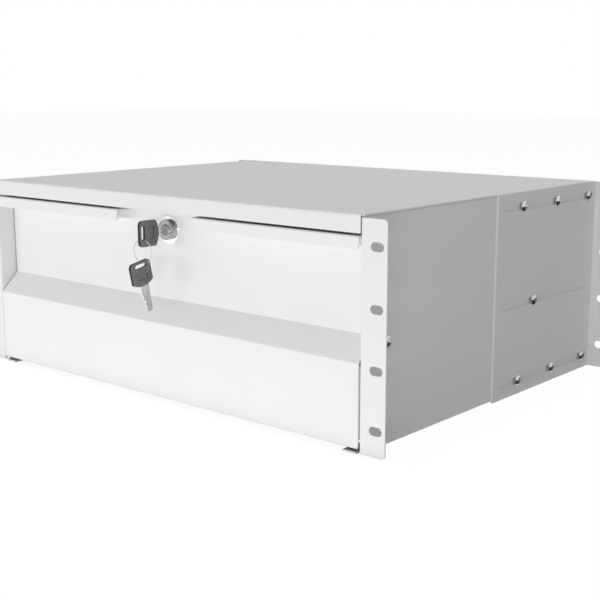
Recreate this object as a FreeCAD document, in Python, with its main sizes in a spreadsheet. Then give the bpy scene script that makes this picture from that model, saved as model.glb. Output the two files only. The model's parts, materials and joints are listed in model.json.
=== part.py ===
import FreeCAD, Part
import math
import os
import Sketcher
from FreeCAD import Placement, Rotation, Vector

# Sliding rack drawer, four rack units high: a folded sheet casing with rack ears,
# a lockable drawer on ball-bearing telescopic slides, and adjustable rear brackets.
# Frame: X across, Y towards the back, Z up, origin at the centre of the front rack slots
# on the front face of the ears. Lengths are millimetres.

DIMENSIONS = [
    ("ear_span", 482.6, "width over the front ears"),
    ("ear_width", 22.0, "front ears beyond the side plates"),
    ("casing_depth", 353.7, "ear face to the back of the rear panel"),
    ("ear_height", 172.6, "height of the front ears"),
    ("cover_margin", 2.0, "top of the cover above the ears"),
    ("side_margin", 0.9, "bottom edge of the side plates below the ears"),
    ("casing_sheet", 1.2, "sheet of the side plates, cover and rear panel"),
    ("bend_radius", 0.5, "inner radius of the folds"),
    ("slot_pitch", 44.45, "one rack unit"),
    ("slot_edge", 8.75, "middle of the rack slots from the outer edge of the ears"),
    ("slot_length", 11.5, "rack slot, end to end"),
    ("slot_width", 6.8, "rack slot, height"),
    ("ear_corner", 3.5, "outer corners of the ears"),
    ("top_flange", 15.0, "inward flange that carries the cover"),
    ("bottom_flange", 15.5, "inward flange along the bottom of the side plates"),
    ("rear_flange", 14.0, "inward flange that carries the rear panel"),
    ("flange_relief", 2.5, "gap between a flange and the next fold"),
    ("lip_drop", 13.4, "height of the cover's front lip"),
    ("lip_gap", 0.6, "gap between the lip and each side plate"),
    ("bracket_sheet", 1.5, "sheet of the rear brackets"),
    ("bracket_overhang", 1.8, "rear ears behind the rear panel"),
    ("bracket_length", 175.1, "rear brackets, front to back"),
    ("bracket_above", 1.6, "top of the brackets above the front ears"),
    ("bracket_below", 1.9, "bottom of the brackets below the front ears"),
    ("guide_front_margin", 10.1, "front edge of the bracket to the long adjusting slots"),
    ("guide_rear_margin", 6.5, "long adjusting slots to the rear face of the rear ears"),
    ("guide_width", 6.2, "width of the long adjusting slots"),
    ("guide_margin", 10.3, "upper and lower adjusting slots inside the height of the ears"),
    ("clamp_margin", 40.6, "front edge of the bracket to the first clamp screw"),
    ("clamp_pitch", 59.5, "spacing of the clamp screws"),
    ("screw_head_radius", 4.5, "pan head"),
    ("screw_head_height", 2.6, "pan head"),
    ("screw_radius", 2.5, "clamp screw shank"),
    ("nut_radius", 4.4, "press nut behind the side plate"),
    ("nut_height", 3.0, "press nut behind the side plate"),
    ("small_head_radius", 3.4, "pan head of the small screws"),
    ("small_head_height", 1.9, "pan head of the small screws"),
    ("small_screw_radius", 1.7, "shank of the small screws"),
    ("hole_clearance", 0.2, "screw hole over the screw, on the radius"),
    ("drawer_gap", 1.2, "side plate to the drawer front"),
    ("front_sheet", 1.2, "sheet of the drawer front"),
    ("front_lift", 3.5, "bottom of the drawer front above the bottom of the side plates"),
    ("ledge_drop", 19.1, "slot centre down to the front edge of the sloping ledge"),
    ("recess_depth", 17.5, "depth of the recessed panel, and rise of the ledge"),
    ("lip_clearance", 1.9, "cover's lip to the top of the grips"),
    ("grip_height", 9.9, "height of the turned-down grip lips"),
    ("grip_inner", 45.2, "half of the gap between the grips"),
    ("grip_offset", 1.7, "middle of that gap to the right of the drawer's middle"),
    ("grip_margin", 0.8, "outer end of each grip inside the drawer front"),
    ("grip_corner", 3.0, "lower corners of the grip lips"),
    ("front_corner", 2.5, "lower corners of the drawer front"),
    ("return_depth", 15.0, "side returns of the drawer front"),
    ("return_lift", 7.4, "lower end of the side returns above the bottom of the drawer front"),
    ("return_start", 2.4, "upper end of the side returns below the ledge"),
    ("foot_depth", 42.0, "bottom return under the tray, from the ear face"),
    ("foot_margin", 24.0, "bottom return short of each end of the drawer front"),
    ("tray_sheet", 1.0, "sheet of the tray"),
    ("tray_rear_gap", 23.8, "tray to the rear flanges' plane"),
    ("tray_below_grips", 23.0, "top of the tray sides below the top of the grips"),
    ("tray_front_step", 20.0, "tray's front wall below its sides"),
    ("tray_hem", 8.0, "safety hem folded inwards along the tray sides"),
    ("tray_bend", 1.5, "outer radius of the tray's folds"),
    ("stud_margin", 25.4, "outer studs inside the tray's sides"),
    ("stud_inner", 70.0, "inner studs from the middle of the drawer"),
    ("stud_height", 14.0, "studs above the slot centre"),
    ("stud_radius", 2.0, "weld studs that hold the front to the tray"),
    ("stud_length", 6.5, "weld studs behind the recessed panel"),
    ("stud_nut_flats", 7.0, "nuts on the studs, across flats"),
    ("stud_nut_height", 3.2, "nuts on the studs"),
    ("slide_drop", 7.8, "slide centre below the slot centre"),
    ("slide_front", 20.0, "front end of the slides"),
    ("slide_rear_gap", 32.5, "closed slides to the rear panel"),
    ("slide_height", 45.7, "height of the outer rail"),
    ("slide_thickness", 12.7, "side plate to tray"),
    ("rail_sheet", 1.2, "sheet of the slide rails"),
    ("race_clearance", 0.12, "ball to race, on the radius"),
    ("ball_radius", 2.0, "slide balls"),
    ("middle_web", 2.3, "side plate to the web of the middle rail"),
    ("roll_corner", 1.0, "middle of the sheet in the rails' small folds"),
    ("cage_sheet", 0.5, "sheet of the ball cages"),
    ("cage_gap", 0.3, "outer ball cage to the outer rail"),
    ("inner_cage_gap", 0.4, "inner ball cage to the middle rail"),
    ("cage_reach", 3.1, "ball cages past the middle of the balls"),
    ("cage_offset", 90.0, "front end of the ball cages behind the front of the slides"),
    ("cage_length", 120.0, "length of the ball cages"),
    ("ball_pitch", 34.6, "spacing of the balls"),
    ("ball_margin", 8.0, "end of the cage to its first ball"),
    ("ball_pocket", 0.15, "ball to its pocket, on the radius"),
    ("slide_screw_front", 11.0, "front screw of each slide behind the front of the slides"),
    ("slide_screw_margin", 63.6, "front edge of the bracket to the rear screw of each slide"),
    ("rail_screw_margin", 25.0, "rail screws from the ends of the inner rail"),
    ("lock_drop", 15.1, "lock axis below the top of the grips"),
    ("lock_offset", 2.0, "lock axis to the right of the drawer's middle"),
    ("lock_proud", 4.5, "face of the lock in front of the recessed panel"),
    ("lock_face_radius", 8.75, "round face of the lock"),
    ("lock_body_radius", 8.0, "threaded body behind the panel"),
    ("lock_ring_radius", 12.0, "trim ring on the panel"),
    ("lock_ring_thickness", 0.8, "trim ring on the panel"),
    ("lock_body_length", 11.8, "lock body behind the recessed panel"),
    ("lock_nut_flats", 20.0, "lock nut across flats"),
    ("lock_nut_height", 3.5, "lock nut"),
    ("plug_radius", 4.6, "turning plug"),
    ("plug_clearance", 0.05, "plug in its bore, on the radius"),
    ("plug_proud", 0.2, "plug in front of the lock's face"),
    ("cam_length", 24.0, "lock axis to the tip of the cam"),
    ("cam_width", 14.0, "cam"),
    ("cam_sheet", 2.0, "cam"),
    ("cam_gap", 0.5, "free gap in front of and behind the cam"),
    ("cam_square", 6.0, "square end of the plug"),
    ("cam_screw_head", 4.4, "head of the screw that holds the cam"),
    ("strike_width", 40.0, "strike under the cover"),
    ("strike_sheet", 1.5, "strike under the cover"),
    ("strike_drop", 11.0, "strike below the cover"),
    ("strike_leg", 16.0, "strike's fixed leg"),
    ("key_gap", 8.0, "lock face to the bow of the key"),
    ("bow_length", 21.0, "bow along the key"),
    ("bow_height", 21.6, "bow across the key"),
    ("bow_drop", 1.0, "middle of the bow below the blade"),
    ("field_drop", 0.4, "middle of the ring slot and of the recessed field below the blade"),
    ("bow_thickness", 2.3, "bow"),
    ("bow_corner", 3.5, "corners of the bow"),
    ("bow_bulge", 3.3, "curved end of the bow towards the blade"),
    ("bow_slot_length", 12.4, "slot for the ring"),
    ("bow_slot_width", 3.5, "slot for the ring"),
    ("bow_bar", 2.1, "bow between the slot and its outer end"),
    ("bow_recess_length", 9.2, "recessed field of the bow"),
    ("bow_recess_height", 16.2, "recessed field of the bow"),
    ("bow_recess_depth", 0.3, "recessed field of the bow"),
    ("bow_recess_start", 3.0, "ring slot to the recessed field"),
    ("blade_height", 7.6, "key blade"),
    ("shoulder_height", 8.7, "shoulder of the key blade"),
    ("blade_thickness", 1.6, "key blade"),
    ("blade_length", 23.0, "bow to the tip of the blade"),
    ("blade_tang", 5.0, "blade held inside the bow"),
    ("key_clearance", 0.15, "blade in the plug"),
    ("ring_radius", 9.9, "key ring, middle of the wire"),
    ("ring_wire", 0.6, "key ring, radius of the wire"),
    ("ring_flat", 0.48, "key ring, half of its squared section"),
    ("ring_gap", 0.4, "ring to the bow"),
    ("spare_offset", 3.6, "ring from the middle of the spare key's slot"),
    ("spare_tilt", 12.0, "degrees that the spare key leans"),
    ("ring_turn", 6.0, "degrees that the ring is turned out of the panel's plane"),
]

document = FreeCAD.newDocument("sliding_rack_drawer")


def number_of(value):
    """The number behind a Size or a plain number."""
    return value.number if isinstance(value, Size) else float(value)


def formula_of(value):
    """The spreadsheet formula behind a Size or a plain number."""
    return value.formula if isinstance(value, Size) else repr(float(value))


class Size:
    """A length that knows both its number and the formula that binds it to the sheet."""

    def __init__(self, number, formula):
        self.number = number
        self.formula = formula

    def joined(self, sign, left, right, number):
        return Size(number, "(%s %s %s)" % (formula_of(left), sign, formula_of(right)))

    def __add__(self, other):
        return self.joined("+", self, other, self.number + number_of(other))

    def __radd__(self, other):
        return self.joined("+", other, self, number_of(other) + self.number)

    def __sub__(self, other):
        return self.joined("-", self, other, self.number - number_of(other))

    def __rsub__(self, other):
        return self.joined("-", other, self, number_of(other) - self.number)

    def __mul__(self, other):
        return self.joined("*", self, other, self.number * number_of(other))

    def __rmul__(self, other):
        return self.joined("*", other, self, number_of(other) * self.number)

    def __truediv__(self, other):
        return self.joined("/", self, other, self.number / number_of(other))

    def __neg__(self):
        return Size(-self.number, "(-%s)" % self.formula)


class Sizes:
    """Every driving dimension by name, read back from the spreadsheet."""

    def __init__(self, rows):
        self.sheet = document.addObject("Spreadsheet::Sheet", "sizes")
        for number, (alias, value, note) in enumerate(rows, start=1):
            self.sheet.set("A%d" % number, alias)
            self.sheet.set("B%d" % number, str(value))
            self.sheet.set("C%d" % number, note)
            self.sheet.setAlias("B%d" % number, alias)
        document.recompute()
        for alias, _, _ in rows:
            setattr(self, alias, Size(float(self.sheet.get(alias)), "sizes." + alias))


size = Sizes(DIMENSIONS)
nodes = []


def bind(item, name, value):
    """Tie one property of an object to the sheet."""
    item.setExpression(name, formula_of(value))


def keep(item, label):
    """Register an object as one named piece of the assembly."""
    item.Label = label
    nodes.append(item)
    return item


# Sketch outlines. Each function returns a drawing step that a sketch runs.
# The first sketch axis is X, or Y on the YZ plane; the second is Z, or Y on the XY plane.

ORIGIN = (-1, 1)
POINTS = {name: number for number, name in enumerate(("start", "end", "centre"), start=1)}


def fix_point(sketch, geometry, point, place):
    """Hold one point of a sketch at a place measured from the origin."""
    for kind, value in zip(("DistanceX", "DistanceY"), place):
        row = sketch.addConstraint(
            Sketcher.Constraint(kind, ORIGIN[0], ORIGIN[1], geometry, point, number_of(value)))
        bind(sketch, "Constraints[%d]" % row, value)


def polygon(corners):
    """A closed outline of straight edges."""
    def draw(sketch):
        first = sketch.GeometryCount
        points = [Vector(number_of(a), number_of(b), 0) for a, b in corners]
        for index, point in enumerate(points):
            sketch.addGeometry(Part.LineSegment(point, points[(index + 1) % len(points)]), False)
        for index, corner in enumerate(corners):
            following = first + (index + 1) % len(corners)
            sketch.addConstraint(Sketcher.Constraint("Coincident", first + index, 2, following, 1))
            fix_point(sketch, first + index, 1, corner)
    return draw


def rectangle(low, high):
    """An upright rectangle between two opposite corners."""
    return polygon([low, (high[0], low[1]), high, (low[0], high[1])])


def circle(centre, radius):
    """A full circle."""
    def draw(sketch):
        middle = Vector(number_of(centre[0]), number_of(centre[1]), 0)
        item = sketch.addGeometry(Part.Circle(middle, Vector(0, 0, 1), number_of(radius)), False)
        fix_point(sketch, item, POINTS["centre"], centre)
        row = sketch.addConstraint(Sketcher.Constraint("Radius", item, number_of(radius)))
        bind(sketch, "Constraints[%d]" % row, radius)
    return draw


def octagon(centre, radius):
    """An eight-sided outline, used for the shanks and holes of small fasteners."""
    corners = []
    for step in range(8):
        angle = math.radians(45 * step)
        corners.append((centre[0] + radius * round(math.cos(angle), 6),
                        centre[1] + radius * round(math.sin(angle), 6)))
    return polygon(corners)


def slot(start, end, width):
    """A round-ended slot between two end centres on one level line or one upright line."""
    def draw(sketch):
        radius = width / 2
        first, last = [Vector(number_of(a), number_of(b), 0) for a, b in (start, end)]
        angle = math.atan2(last.y - first.y, last.x - first.x)
        side = Vector(-math.sin(angle), math.cos(angle), 0) * number_of(radius)
        quarter = math.pi / 2
        left = sketch.addGeometry(Part.ArcOfCircle(
            Part.Circle(first, Vector(0, 0, 1), number_of(radius)), angle + quarter, angle + 3 * quarter), False)
        right = sketch.addGeometry(Part.ArcOfCircle(
            Part.Circle(last, Vector(0, 0, 1), number_of(radius)), angle - quarter, angle + quarter), False)
        upper = sketch.addGeometry(Part.LineSegment(first + side, last + side), False)
        lower = sketch.addGeometry(Part.LineSegment(first - side, last - side), False)
        for arc, arc_end, line, line_end in ((left, 1, upper, 1), (left, 2, lower, 1),
                                             (right, 2, upper, 2), (right, 1, lower, 2)):
            sketch.addConstraint(Sketcher.Constraint("Tangent", arc, arc_end, line, line_end))
        fix_point(sketch, left, POINTS["centre"], start)
        fix_point(sketch, right, POINTS["centre"], end)
        row = sketch.addConstraint(Sketcher.Constraint("Radius", left, number_of(radius)))
        bind(sketch, "Constraints[%d]" % row, radius)
    return draw


# Features of a body.

NORMAL = {"XY": 1, "XZ": -1, "YZ": 1}


def new_body(name):
    return document.addObject("PartDesign::Body", name)


def new_sketch(body, name, plane, offset, outlines):
    """A sketch on an origin plane of its body, moved along that plane's axis."""
    sketch = body.newObject("Sketcher::SketchObject", name)
    support = [item for item in body.Origin.OriginFeatures if item.Role == plane + "_Plane"]
    sketch.AttachmentSupport = [(support[0], "")]
    sketch.MapMode = "FlatFace"
    bind(sketch, "AttachmentOffset.Base.z", offset * NORMAL[plane])
    for outline in outlines:
        outline(sketch)
    return sketch


def pad(body, name, plane, low, high, *outlines):
    """Material from the low to the high place along the plane's axis."""
    start = low if NORMAL[plane] > 0 else high
    sketch = new_sketch(body, name + "_sketch", plane, start, outlines)
    feature = body.newObject("PartDesign::Pad", name)
    feature.Profile = sketch
    bind(feature, "Length", high - low)
    document.recompute([body])
    return feature


def pocket(body, name, plane, low, high, *outlines):
    """A cut from the low to the high place along the plane's axis."""
    before = body.Shape.Volume
    start = high if NORMAL[plane] > 0 else low
    sketch = new_sketch(body, name + "_sketch", plane, start, outlines)
    feature = body.newObject("PartDesign::Pocket", name)
    feature.Profile = sketch
    bind(feature, "Length", high - low)
    document.recompute([body])
    if not body.Shape.Volume < before:
        raise RuntimeError("the cut %s of %s removes nothing" % (name, body.Name))
    return feature


def edges_along(body, axis, *places):
    """Names of the straight edges along one axis through the given places.

    A place is a pair for the two other axes, in X, Y, Z order.
    """
    along = "XYZ".index(axis)
    across = [index for index in range(3) if index != along]
    names = []
    for number, edge in enumerate(body.Shape.Edges, start=1):
        if len(edge.Vertexes) != 2 or not isinstance(edge.Curve, (Part.Line, Part.LineSegment)):
            continue
        first, last = [vertex.Point for vertex in edge.Vertexes]
        for place in places:
            wanted = [number_of(value) for value in place]
            near = [abs(point[index] - value) < 1e-4
                    for point in (first, last) for index, value in zip(across, wanted)]
            if all(near):
                names.append("Edge%d" % number)
    return names


def fillet(body, name, radius, edges):
    """Round the named edges."""
    if not edges:
        raise RuntimeError("no edge found for %s of %s" % (name, body.Name))
    base = body.Tip
    feature = body.newObject("PartDesign::Fillet", name)
    feature.Base = (base, edges)
    bind(feature, "Radius", radius)
    document.recompute([body])
    return feature


def fold(body, name, axis, inner_places, outer_places, inner_radius, sheet):
    """Round a fold of sheet: its inner edges, and its outer edges concentric with them."""
    fillet(body, name + "_inner", inner_radius, edges_along(body, axis, *inner_places))
    fillet(body, name + "_outer", inner_radius + sheet, edges_along(body, axis, *outer_places))


# Whole objects.

def mirrored(source, label):
    """The left-hand twin of a right-hand piece."""
    twin = document.addObject("Part::Mirroring", label)
    twin.Source = source
    twin.Base = Vector(0, 0, 0)
    twin.Normal = Vector(1, 0, 0)
    return keep(twin, label)


def both_sides(piece, name):
    """Keep a right-hand piece and its left-hand twin."""
    keep(piece, name + "_right")
    return mirrored(piece, name + "_left")


def placed(item, place, turn=None):
    """Bind an object's place to the sheet, with a fixed turn."""
    item.Placement = Placement(Vector(*[number_of(value) for value in place]), turn or Rotation())
    for axis, value in zip("xyz", place):
        bind(item, "Placement.Base." + axis, value)
    return item


def copies(source, name, places, turn=None):
    """A group of separate copies of one piece."""
    links = []
    for number, place in enumerate(places, start=1):
        link = document.addObject("App::Link", "%s_%d" % (name, number))
        link.LinkedObject = source
        links.append(placed(link, place, turn))
    group = document.addObject("Part::Compound", name)
    group.Links = links
    return group


def cylinder(name, radius, height, place, turn=None):
    item = document.addObject("Part::Cylinder", name)
    bind(item, "Radius", radius)
    bind(item, "Height", height)
    return placed(item, place, turn)


def octagonal(name, radius, height, place, turn=None):
    item = document.addObject("Part::Prism", name)
    item.Polygon = 8
    bind(item, "Circumradius", radius)
    bind(item, "Height", height)
    return placed(item, place, turn)


def block(name, low, high):
    item = document.addObject("Part::Box", name)
    for prop, start, end in zip(("Length", "Width", "Height"), low, high):
        bind(item, prop, end - start)
    return placed(item, low)


def cut(name, base, tools):
    item = document.addObject("Part::Cut", name)
    item.Base = base
    item.Tool = tools[0] if len(tools) == 1 else fuse(name + "_tools", tools)
    return item


def fuse(name, pieces):
    item = document.addObject("Part::MultiFuse", name)
    item.Shapes = pieces
    return item


ALONG_X = Rotation(Vector(0, 1, 0), 90)
AGAINST_X = Rotation(Vector(0, 1, 0), -90)
ALONG_Y = Rotation(Vector(1, 0, 0), -90)
AGAINST_Y = Rotation(Vector(1, 0, 0), 90)


def screw(name, head_radius, head_height, shank_radius, shank_length):
    """A flat-topped pan-head screw along Z with its seat at Z = 0 and its shank below."""
    body = new_body(name)
    seat = 0 * head_height
    pad(body, name + "_head", "XY", seat, head_height, octagon((0, 0), head_radius))
    pad(body, name + "_shank", "XY", -shank_length, seat, octagon((0, 0), shank_radius))
    return body


# Places that several pieces share.

casing_half = size.ear_span / 2 - size.ear_width
inner_half = casing_half - size.casing_sheet
slot_x = size.ear_span / 2 - size.slot_edge
slot_heights = [size.slot_pitch * step for step in (-1.5, -0.5, 0.5, 1.5)]
ear_half = size.ear_height / 2
top_rise = ear_half + size.cover_margin
cover_under = top_rise - size.casing_sheet
side_drop = ear_half + size.side_margin
rear_inside = size.casing_depth - size.casing_sheet

bracket_rear = size.casing_depth + size.bracket_overhang
bracket_front = bracket_rear - size.bracket_length
bracket_rise = ear_half + size.bracket_above
bracket_drop = ear_half + size.bracket_below
guide_height = ear_half - size.guide_margin
clamp_room = size.bracket_length - size.clamp_margin - size.guide_rear_margin - size.guide_width / 2
clamp_steps = range(1 + int(number_of(clamp_room) / number_of(size.clamp_pitch)))
clamp_places = [(bracket_front + size.clamp_margin + size.clamp_pitch * step, level)
                for level in (guide_height, -guide_height) for step in clamp_steps]
rear_screw_x = inner_half - size.rear_flange / 2
rear_screw_places = [(side * rear_screw_x, level) for side in (-1, 1)
                     for level in (-guide_height, guide_height)]

drawer_half = inner_half - size.drawer_gap
front_rise = top_rise - size.lip_drop - size.lip_clearance
front_drop = side_drop - size.front_lift
panel_rear = size.recess_depth + size.front_sheet
tray_half = inner_half - size.slide_thickness
tray_floor = -front_drop + size.front_sheet
tray_rear = rear_inside - size.tray_rear_gap
tray_rise = front_rise - size.tray_below_grips

slide_z = -size.slide_drop
slide_length = rear_inside - size.slide_rear_gap - size.slide_front
slide_screws = (size.slide_front + size.slide_screw_front, bracket_front + size.slide_screw_margin)
lock_rise = front_rise - size.lock_drop
lock_face = size.recess_depth - size.lock_proud
lock_body_rear = panel_rear + size.lock_body_length


# Casing.

def rack_slots(row):
    """The four round-ended rack slots of one ear, drawn on the XZ plane."""
    reach = (size.slot_length - size.slot_width) / 2
    return [slot((row - reach, level), (row + reach, level), size.slot_width) for level in slot_heights]


def side_plate():
    """Right side plate: web, front ear, and inward flanges at the top, bottom and rear."""
    body = new_body("side_plate")
    sheet = size.casing_sheet
    pad(body, "web", "YZ", inner_half, casing_half,
        rectangle((0 * sheet, -side_drop), (rear_inside, cover_under)))
    flange_end = rear_inside - sheet - size.flange_relief
    flange_top = cover_under - sheet - size.flange_relief
    flange_low = size.flange_relief - side_drop
    fold_end = sheet + 2 * size.bend_radius
    flange_front = fold_end + size.flange_relief
    notch_low = cover_under - size.flange_relief
    pocket(body, "upper_reliefs", "YZ", inner_half, casing_half,
           polygon([(0 * sheet, ear_half), (fold_end, ear_half), (fold_end, notch_low),
                    (flange_front, notch_low), (flange_front, cover_under), (0 * sheet, cover_under)]),
           rectangle((flange_end, flange_top), (rear_inside, cover_under)),
           rectangle((flange_end, -side_drop), (rear_inside, flange_low)))
    pad(body, "ear", "XZ", 0 * sheet, sheet, rectangle((inner_half, -ear_half), (size.ear_span / 2, ear_half)))
    pocket(body, "rack_slots", "XZ", 0 * sheet, sheet, *rack_slots(slot_x))
    pad(body, "cover_flange", "XZ", flange_front, flange_end,
        rectangle((inner_half - size.top_flange, cover_under - sheet), (casing_half, cover_under)))
    pad(body, "floor_flange", "XZ", 0 * sheet, flange_end,
        rectangle((inner_half - size.bottom_flange, -side_drop),
                  (casing_half, sheet - side_drop)))
    pad(body, "back_flange", "XZ", rear_inside - sheet, rear_inside,
        rectangle((inner_half - size.rear_flange, flange_low), (casing_half, flange_top)))
    pocket(body, "lower_relief", "YZ", inner_half, casing_half, polygon([
        (0 * sheet, -side_drop), (flange_front, -side_drop), (flange_front, flange_low),
        (fold_end, flange_low), (fold_end, -ear_half), (0 * sheet, -ear_half)]))
    pocket(body, "flange_relief", "XY", -side_drop, sheet - side_drop,
           rectangle((inner_half - size.flange_relief, 0 * sheet), (inner_half, flange_front)))
    pocket(body, "panel_holes", "XZ", rear_inside - sheet, rear_inside,
           *[octagon((rear_screw_x, level), size.small_screw_radius + size.plug_clearance)
             for level in (-guide_height, guide_height)])
    pocket(body, "clamp_holes", "YZ", inner_half, casing_half,
           *[octagon(place, size.screw_radius + size.hole_clearance) for place in clamp_places])
    pocket(body, "slide_holes", "YZ", inner_half, casing_half,
           *[octagon((place, slide_z), size.screw_radius + size.hole_clearance) for place in slide_screws])
    fillet(body, "ear_corners", size.ear_corner,
           edges_along(body, "Y", (size.ear_span / 2, ear_half), (size.ear_span / 2, -ear_half)))
    fold(body, "ear_fold", "Z", [(casing_half, sheet)], [(inner_half, 0)], size.bend_radius, sheet)
    fold(body, "cover_fold", "Y", [(inner_half, cover_under - sheet)], [(casing_half, cover_under)],
         size.bend_radius, sheet)
    fold(body, "floor_fold", "Y", [(inner_half, sheet - side_drop)], [(casing_half, -side_drop)],
         size.bend_radius, sheet)
    fold(body, "back_fold", "Z", [(inner_half, rear_inside - sheet)], [(casing_half, rear_inside)],
         size.bend_radius, sheet)
    return body


both_sides(side_plate(), "side_plate")


def top_cover():
    """Cover sheet with a front lip that hangs between the ears."""
    body = new_body("top_cover_body")
    sheet = size.casing_sheet
    pad(body, "roof", "XY", cover_under, top_rise,
        rectangle((-casing_half, 0 * sheet), (casing_half, size.casing_depth)))
    lip_half = inner_half - size.lip_gap
    pad(body, "front_lip", "XZ", 0 * sheet, sheet,
        rectangle((-lip_half, top_rise - size.lip_drop), (lip_half, top_rise)))
    pocket(body, "lip_reliefs", "XY", cover_under, top_rise,
           rectangle((lip_half, 0 * sheet), (casing_half, size.flange_relief)),
           rectangle((-casing_half, 0 * sheet), (-lip_half, size.flange_relief)))
    fold(body, "lip_fold", "X", [(sheet, cover_under)], [(0, top_rise)], size.bend_radius, sheet)
    return body


keep(top_cover(), "top_cover")


def rear_panel():
    """Flat panel on the rear flanges of the side plates."""
    body = new_body("rear_panel_body")
    pad(body, "sheet", "XZ", rear_inside, size.casing_depth,
        rectangle((-casing_half, -side_drop), (casing_half, cover_under)))
    pocket(body, "screw_holes", "XZ", rear_inside, size.casing_depth,
           *[octagon((x, z), size.small_screw_radius + size.hole_clearance) for x, z in rear_screw_places])
    return body


keep(rear_panel(), "rear_panel")

rear_screw = screw("rear_screw", size.small_head_radius, size.small_head_height,
                          size.small_screw_radius, 2 * size.casing_sheet)
keep(copies(rear_screw, "rear_panel_screw_group",
            [(x, size.casing_depth, z) for x, z in rear_screw_places], ALONG_Y), "rear_panel_screws")


def lock_strike():
    """Angle under the cover that the raised cam catches behind."""
    body = new_body("lock_strike_body")
    left = size.lock_offset - size.strike_width / 2
    right = size.lock_offset + size.strike_width / 2
    front = strike_rear - size.strike_sheet
    pad(body, "catch", "XZ", front, strike_rear,
        rectangle((left, cover_under - size.strike_drop), (right, cover_under)))
    pad(body, "leg", "XY", cover_under - size.strike_sheet, cover_under,
        rectangle((left, strike_rear - size.strike_leg), (right, strike_rear)))
    fold(body, "strike_fold", "X", [(front, cover_under - size.strike_sheet)], [(strike_rear, cover_under)],
         size.bend_radius, size.strike_sheet)
    return body


cam_front = lock_body_rear + size.cam_gap
strike_rear = cam_front - size.cam_gap
keep(lock_strike(), "lock_strike")


# Rear brackets.

def rear_bracket():
    """Right rear bracket: a web with three long slots and an outward rack ear."""
    body = new_body("rear_bracket_body")
    sheet = size.bracket_sheet
    outside = casing_half + sheet
    pad(body, "web", "YZ", casing_half, outside,
        rectangle((bracket_front, -bracket_drop), (bracket_rear, bracket_rise)))
    pad(body, "ear", "XZ", bracket_rear - sheet, bracket_rear,
        rectangle((casing_half, -bracket_drop), (size.ear_span / 2, bracket_rise)))
    reach = size.guide_width / 2
    pocket(body, "guides", "YZ", casing_half, outside,
           *[slot((bracket_front + size.guide_front_margin + reach, level),
                  (bracket_rear - size.guide_rear_margin - reach, level), size.guide_width)
             for level in (guide_height, slide_z, -guide_height)])
    pocket(body, "rack_slots", "XZ", bracket_rear - sheet, bracket_rear,
           *rack_slots(slot_x))
    fillet(body, "ear_corners", size.ear_corner,
           edges_along(body, "Y", (size.ear_span / 2, bracket_rise),
                       (size.ear_span / 2, -bracket_drop)))
    fold(body, "ear_fold", "Z", [(outside, bracket_rear - sheet)], [(casing_half, bracket_rear)],
         size.bend_radius, sheet)
    return body


both_sides(rear_bracket(), "rear_bracket")

clamp_screw = screw("clamp_screw", size.screw_head_radius, size.screw_head_height, size.screw_radius,
                           size.bracket_sheet + size.casing_sheet + size.nut_height)
both_sides(copies(clamp_screw, "clamp_screw_group",
                  [(casing_half + size.bracket_sheet, y, z) for y, z in clamp_places], ALONG_X),
           "bracket_screws")


def press_nut():
    """Press nut along Z, its seat at Z = 0 and its collar above."""
    body = new_body("press_nut_body")
    seat = 0 * size.nut_height
    pad(body, "collar", "XY", seat, size.nut_height, octagon((0, 0), size.nut_radius))
    pocket(body, "thread", "XY", seat, size.nut_height,
           octagon((0, 0), size.screw_radius + size.plug_clearance))
    return body


clamp_nut = press_nut()
both_sides(copies(clamp_nut, "clamp_nut_group", [(inner_half, y, z) for y, z in clamp_places], AGAINST_X),
           "bracket_nuts")

short_screw = screw("slide_front_screw", size.screw_head_radius, size.screw_head_height,
                           size.screw_radius, size.casing_sheet + size.rail_sheet)
long_screw = screw("slide_rear_screw", size.screw_head_radius, size.screw_head_height,
                          size.screw_radius, size.bracket_sheet + size.casing_sheet + size.rail_sheet)
slide_screw_group = document.addObject("Part::Compound", "slide_screw_group")
slide_screw_group.Links = [
    copies(short_screw, "slide_front_screws", [(casing_half, slide_screws[0], slide_z)], ALONG_X),
    copies(long_screw, "slide_rear_screws",
           [(casing_half + size.bracket_sheet, slide_screws[1], slide_z)], ALONG_X)]
both_sides(slide_screw_group, "slide_screws")


# Telescopic slides: roll-formed rails with balls between their races.
# A rail's section is a strip of constant thickness along a path of lines and tangent arcs,
# drawn as (depth from the side plate, height from the slide's middle).

race = size.ball_radius + size.race_clearance
roll = race + size.rail_sheet / 2
outer_ball = (size.rail_sheet + race, size.slide_height / 2 - size.rail_sheet - race)
step_down = roll * math.sqrt(2)
inner_ball = (outer_ball[0] + step_down, outer_ball[1] - step_down)
cage_start = size.slide_front + size.cage_offset
ANGLES = {"cup start": 290, "cup end": 315, "hump end": 30, "hook end": 45, "cup edge": 225}


def span_line(start, end):
    """A straight span of a strip's path."""
    return ("line", tuple(number_of(value) for value in start), tuple(number_of(value) for value in end))


def span_arc(centre, radius, begin, finish):
    """A round span of a strip's path, from one angle to another in degrees."""
    return ("arc", tuple(number_of(value) for value in centre), number_of(radius), begin, finish)


def on_section(depth, height):
    """A point of the drawing, placed on the section plane of a right-hand rail."""
    return Vector(-depth, 0, height)


def strip_side(spans, offset):
    """The edges along one side of a strip, at an offset to the left of its path."""
    edges = []
    for kind, *values in spans:
        if kind == "line":
            (a, b), (c, d) = values
            length = math.hypot(c - a, d - b)
            shift = (-(d - b) / length * offset, (c - a) / length * offset)
            start = on_section(a + shift[0], b + shift[1])
            end = on_section(c + shift[0], d + shift[1])
            edges.append(Part.LineSegment(start, end).toShape())
        else:
            (a, b), radius, begin, finish = values
            side = radius - offset if finish > begin else radius + offset
            points = []
            for degrees in (begin, (begin + finish) / 2, finish):
                angle = math.radians(degrees)
                points.append(on_section(a + side * math.cos(angle), b + side * math.sin(angle)))
            edges.append(Part.Arc(*points).toShape())
    return edges


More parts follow.
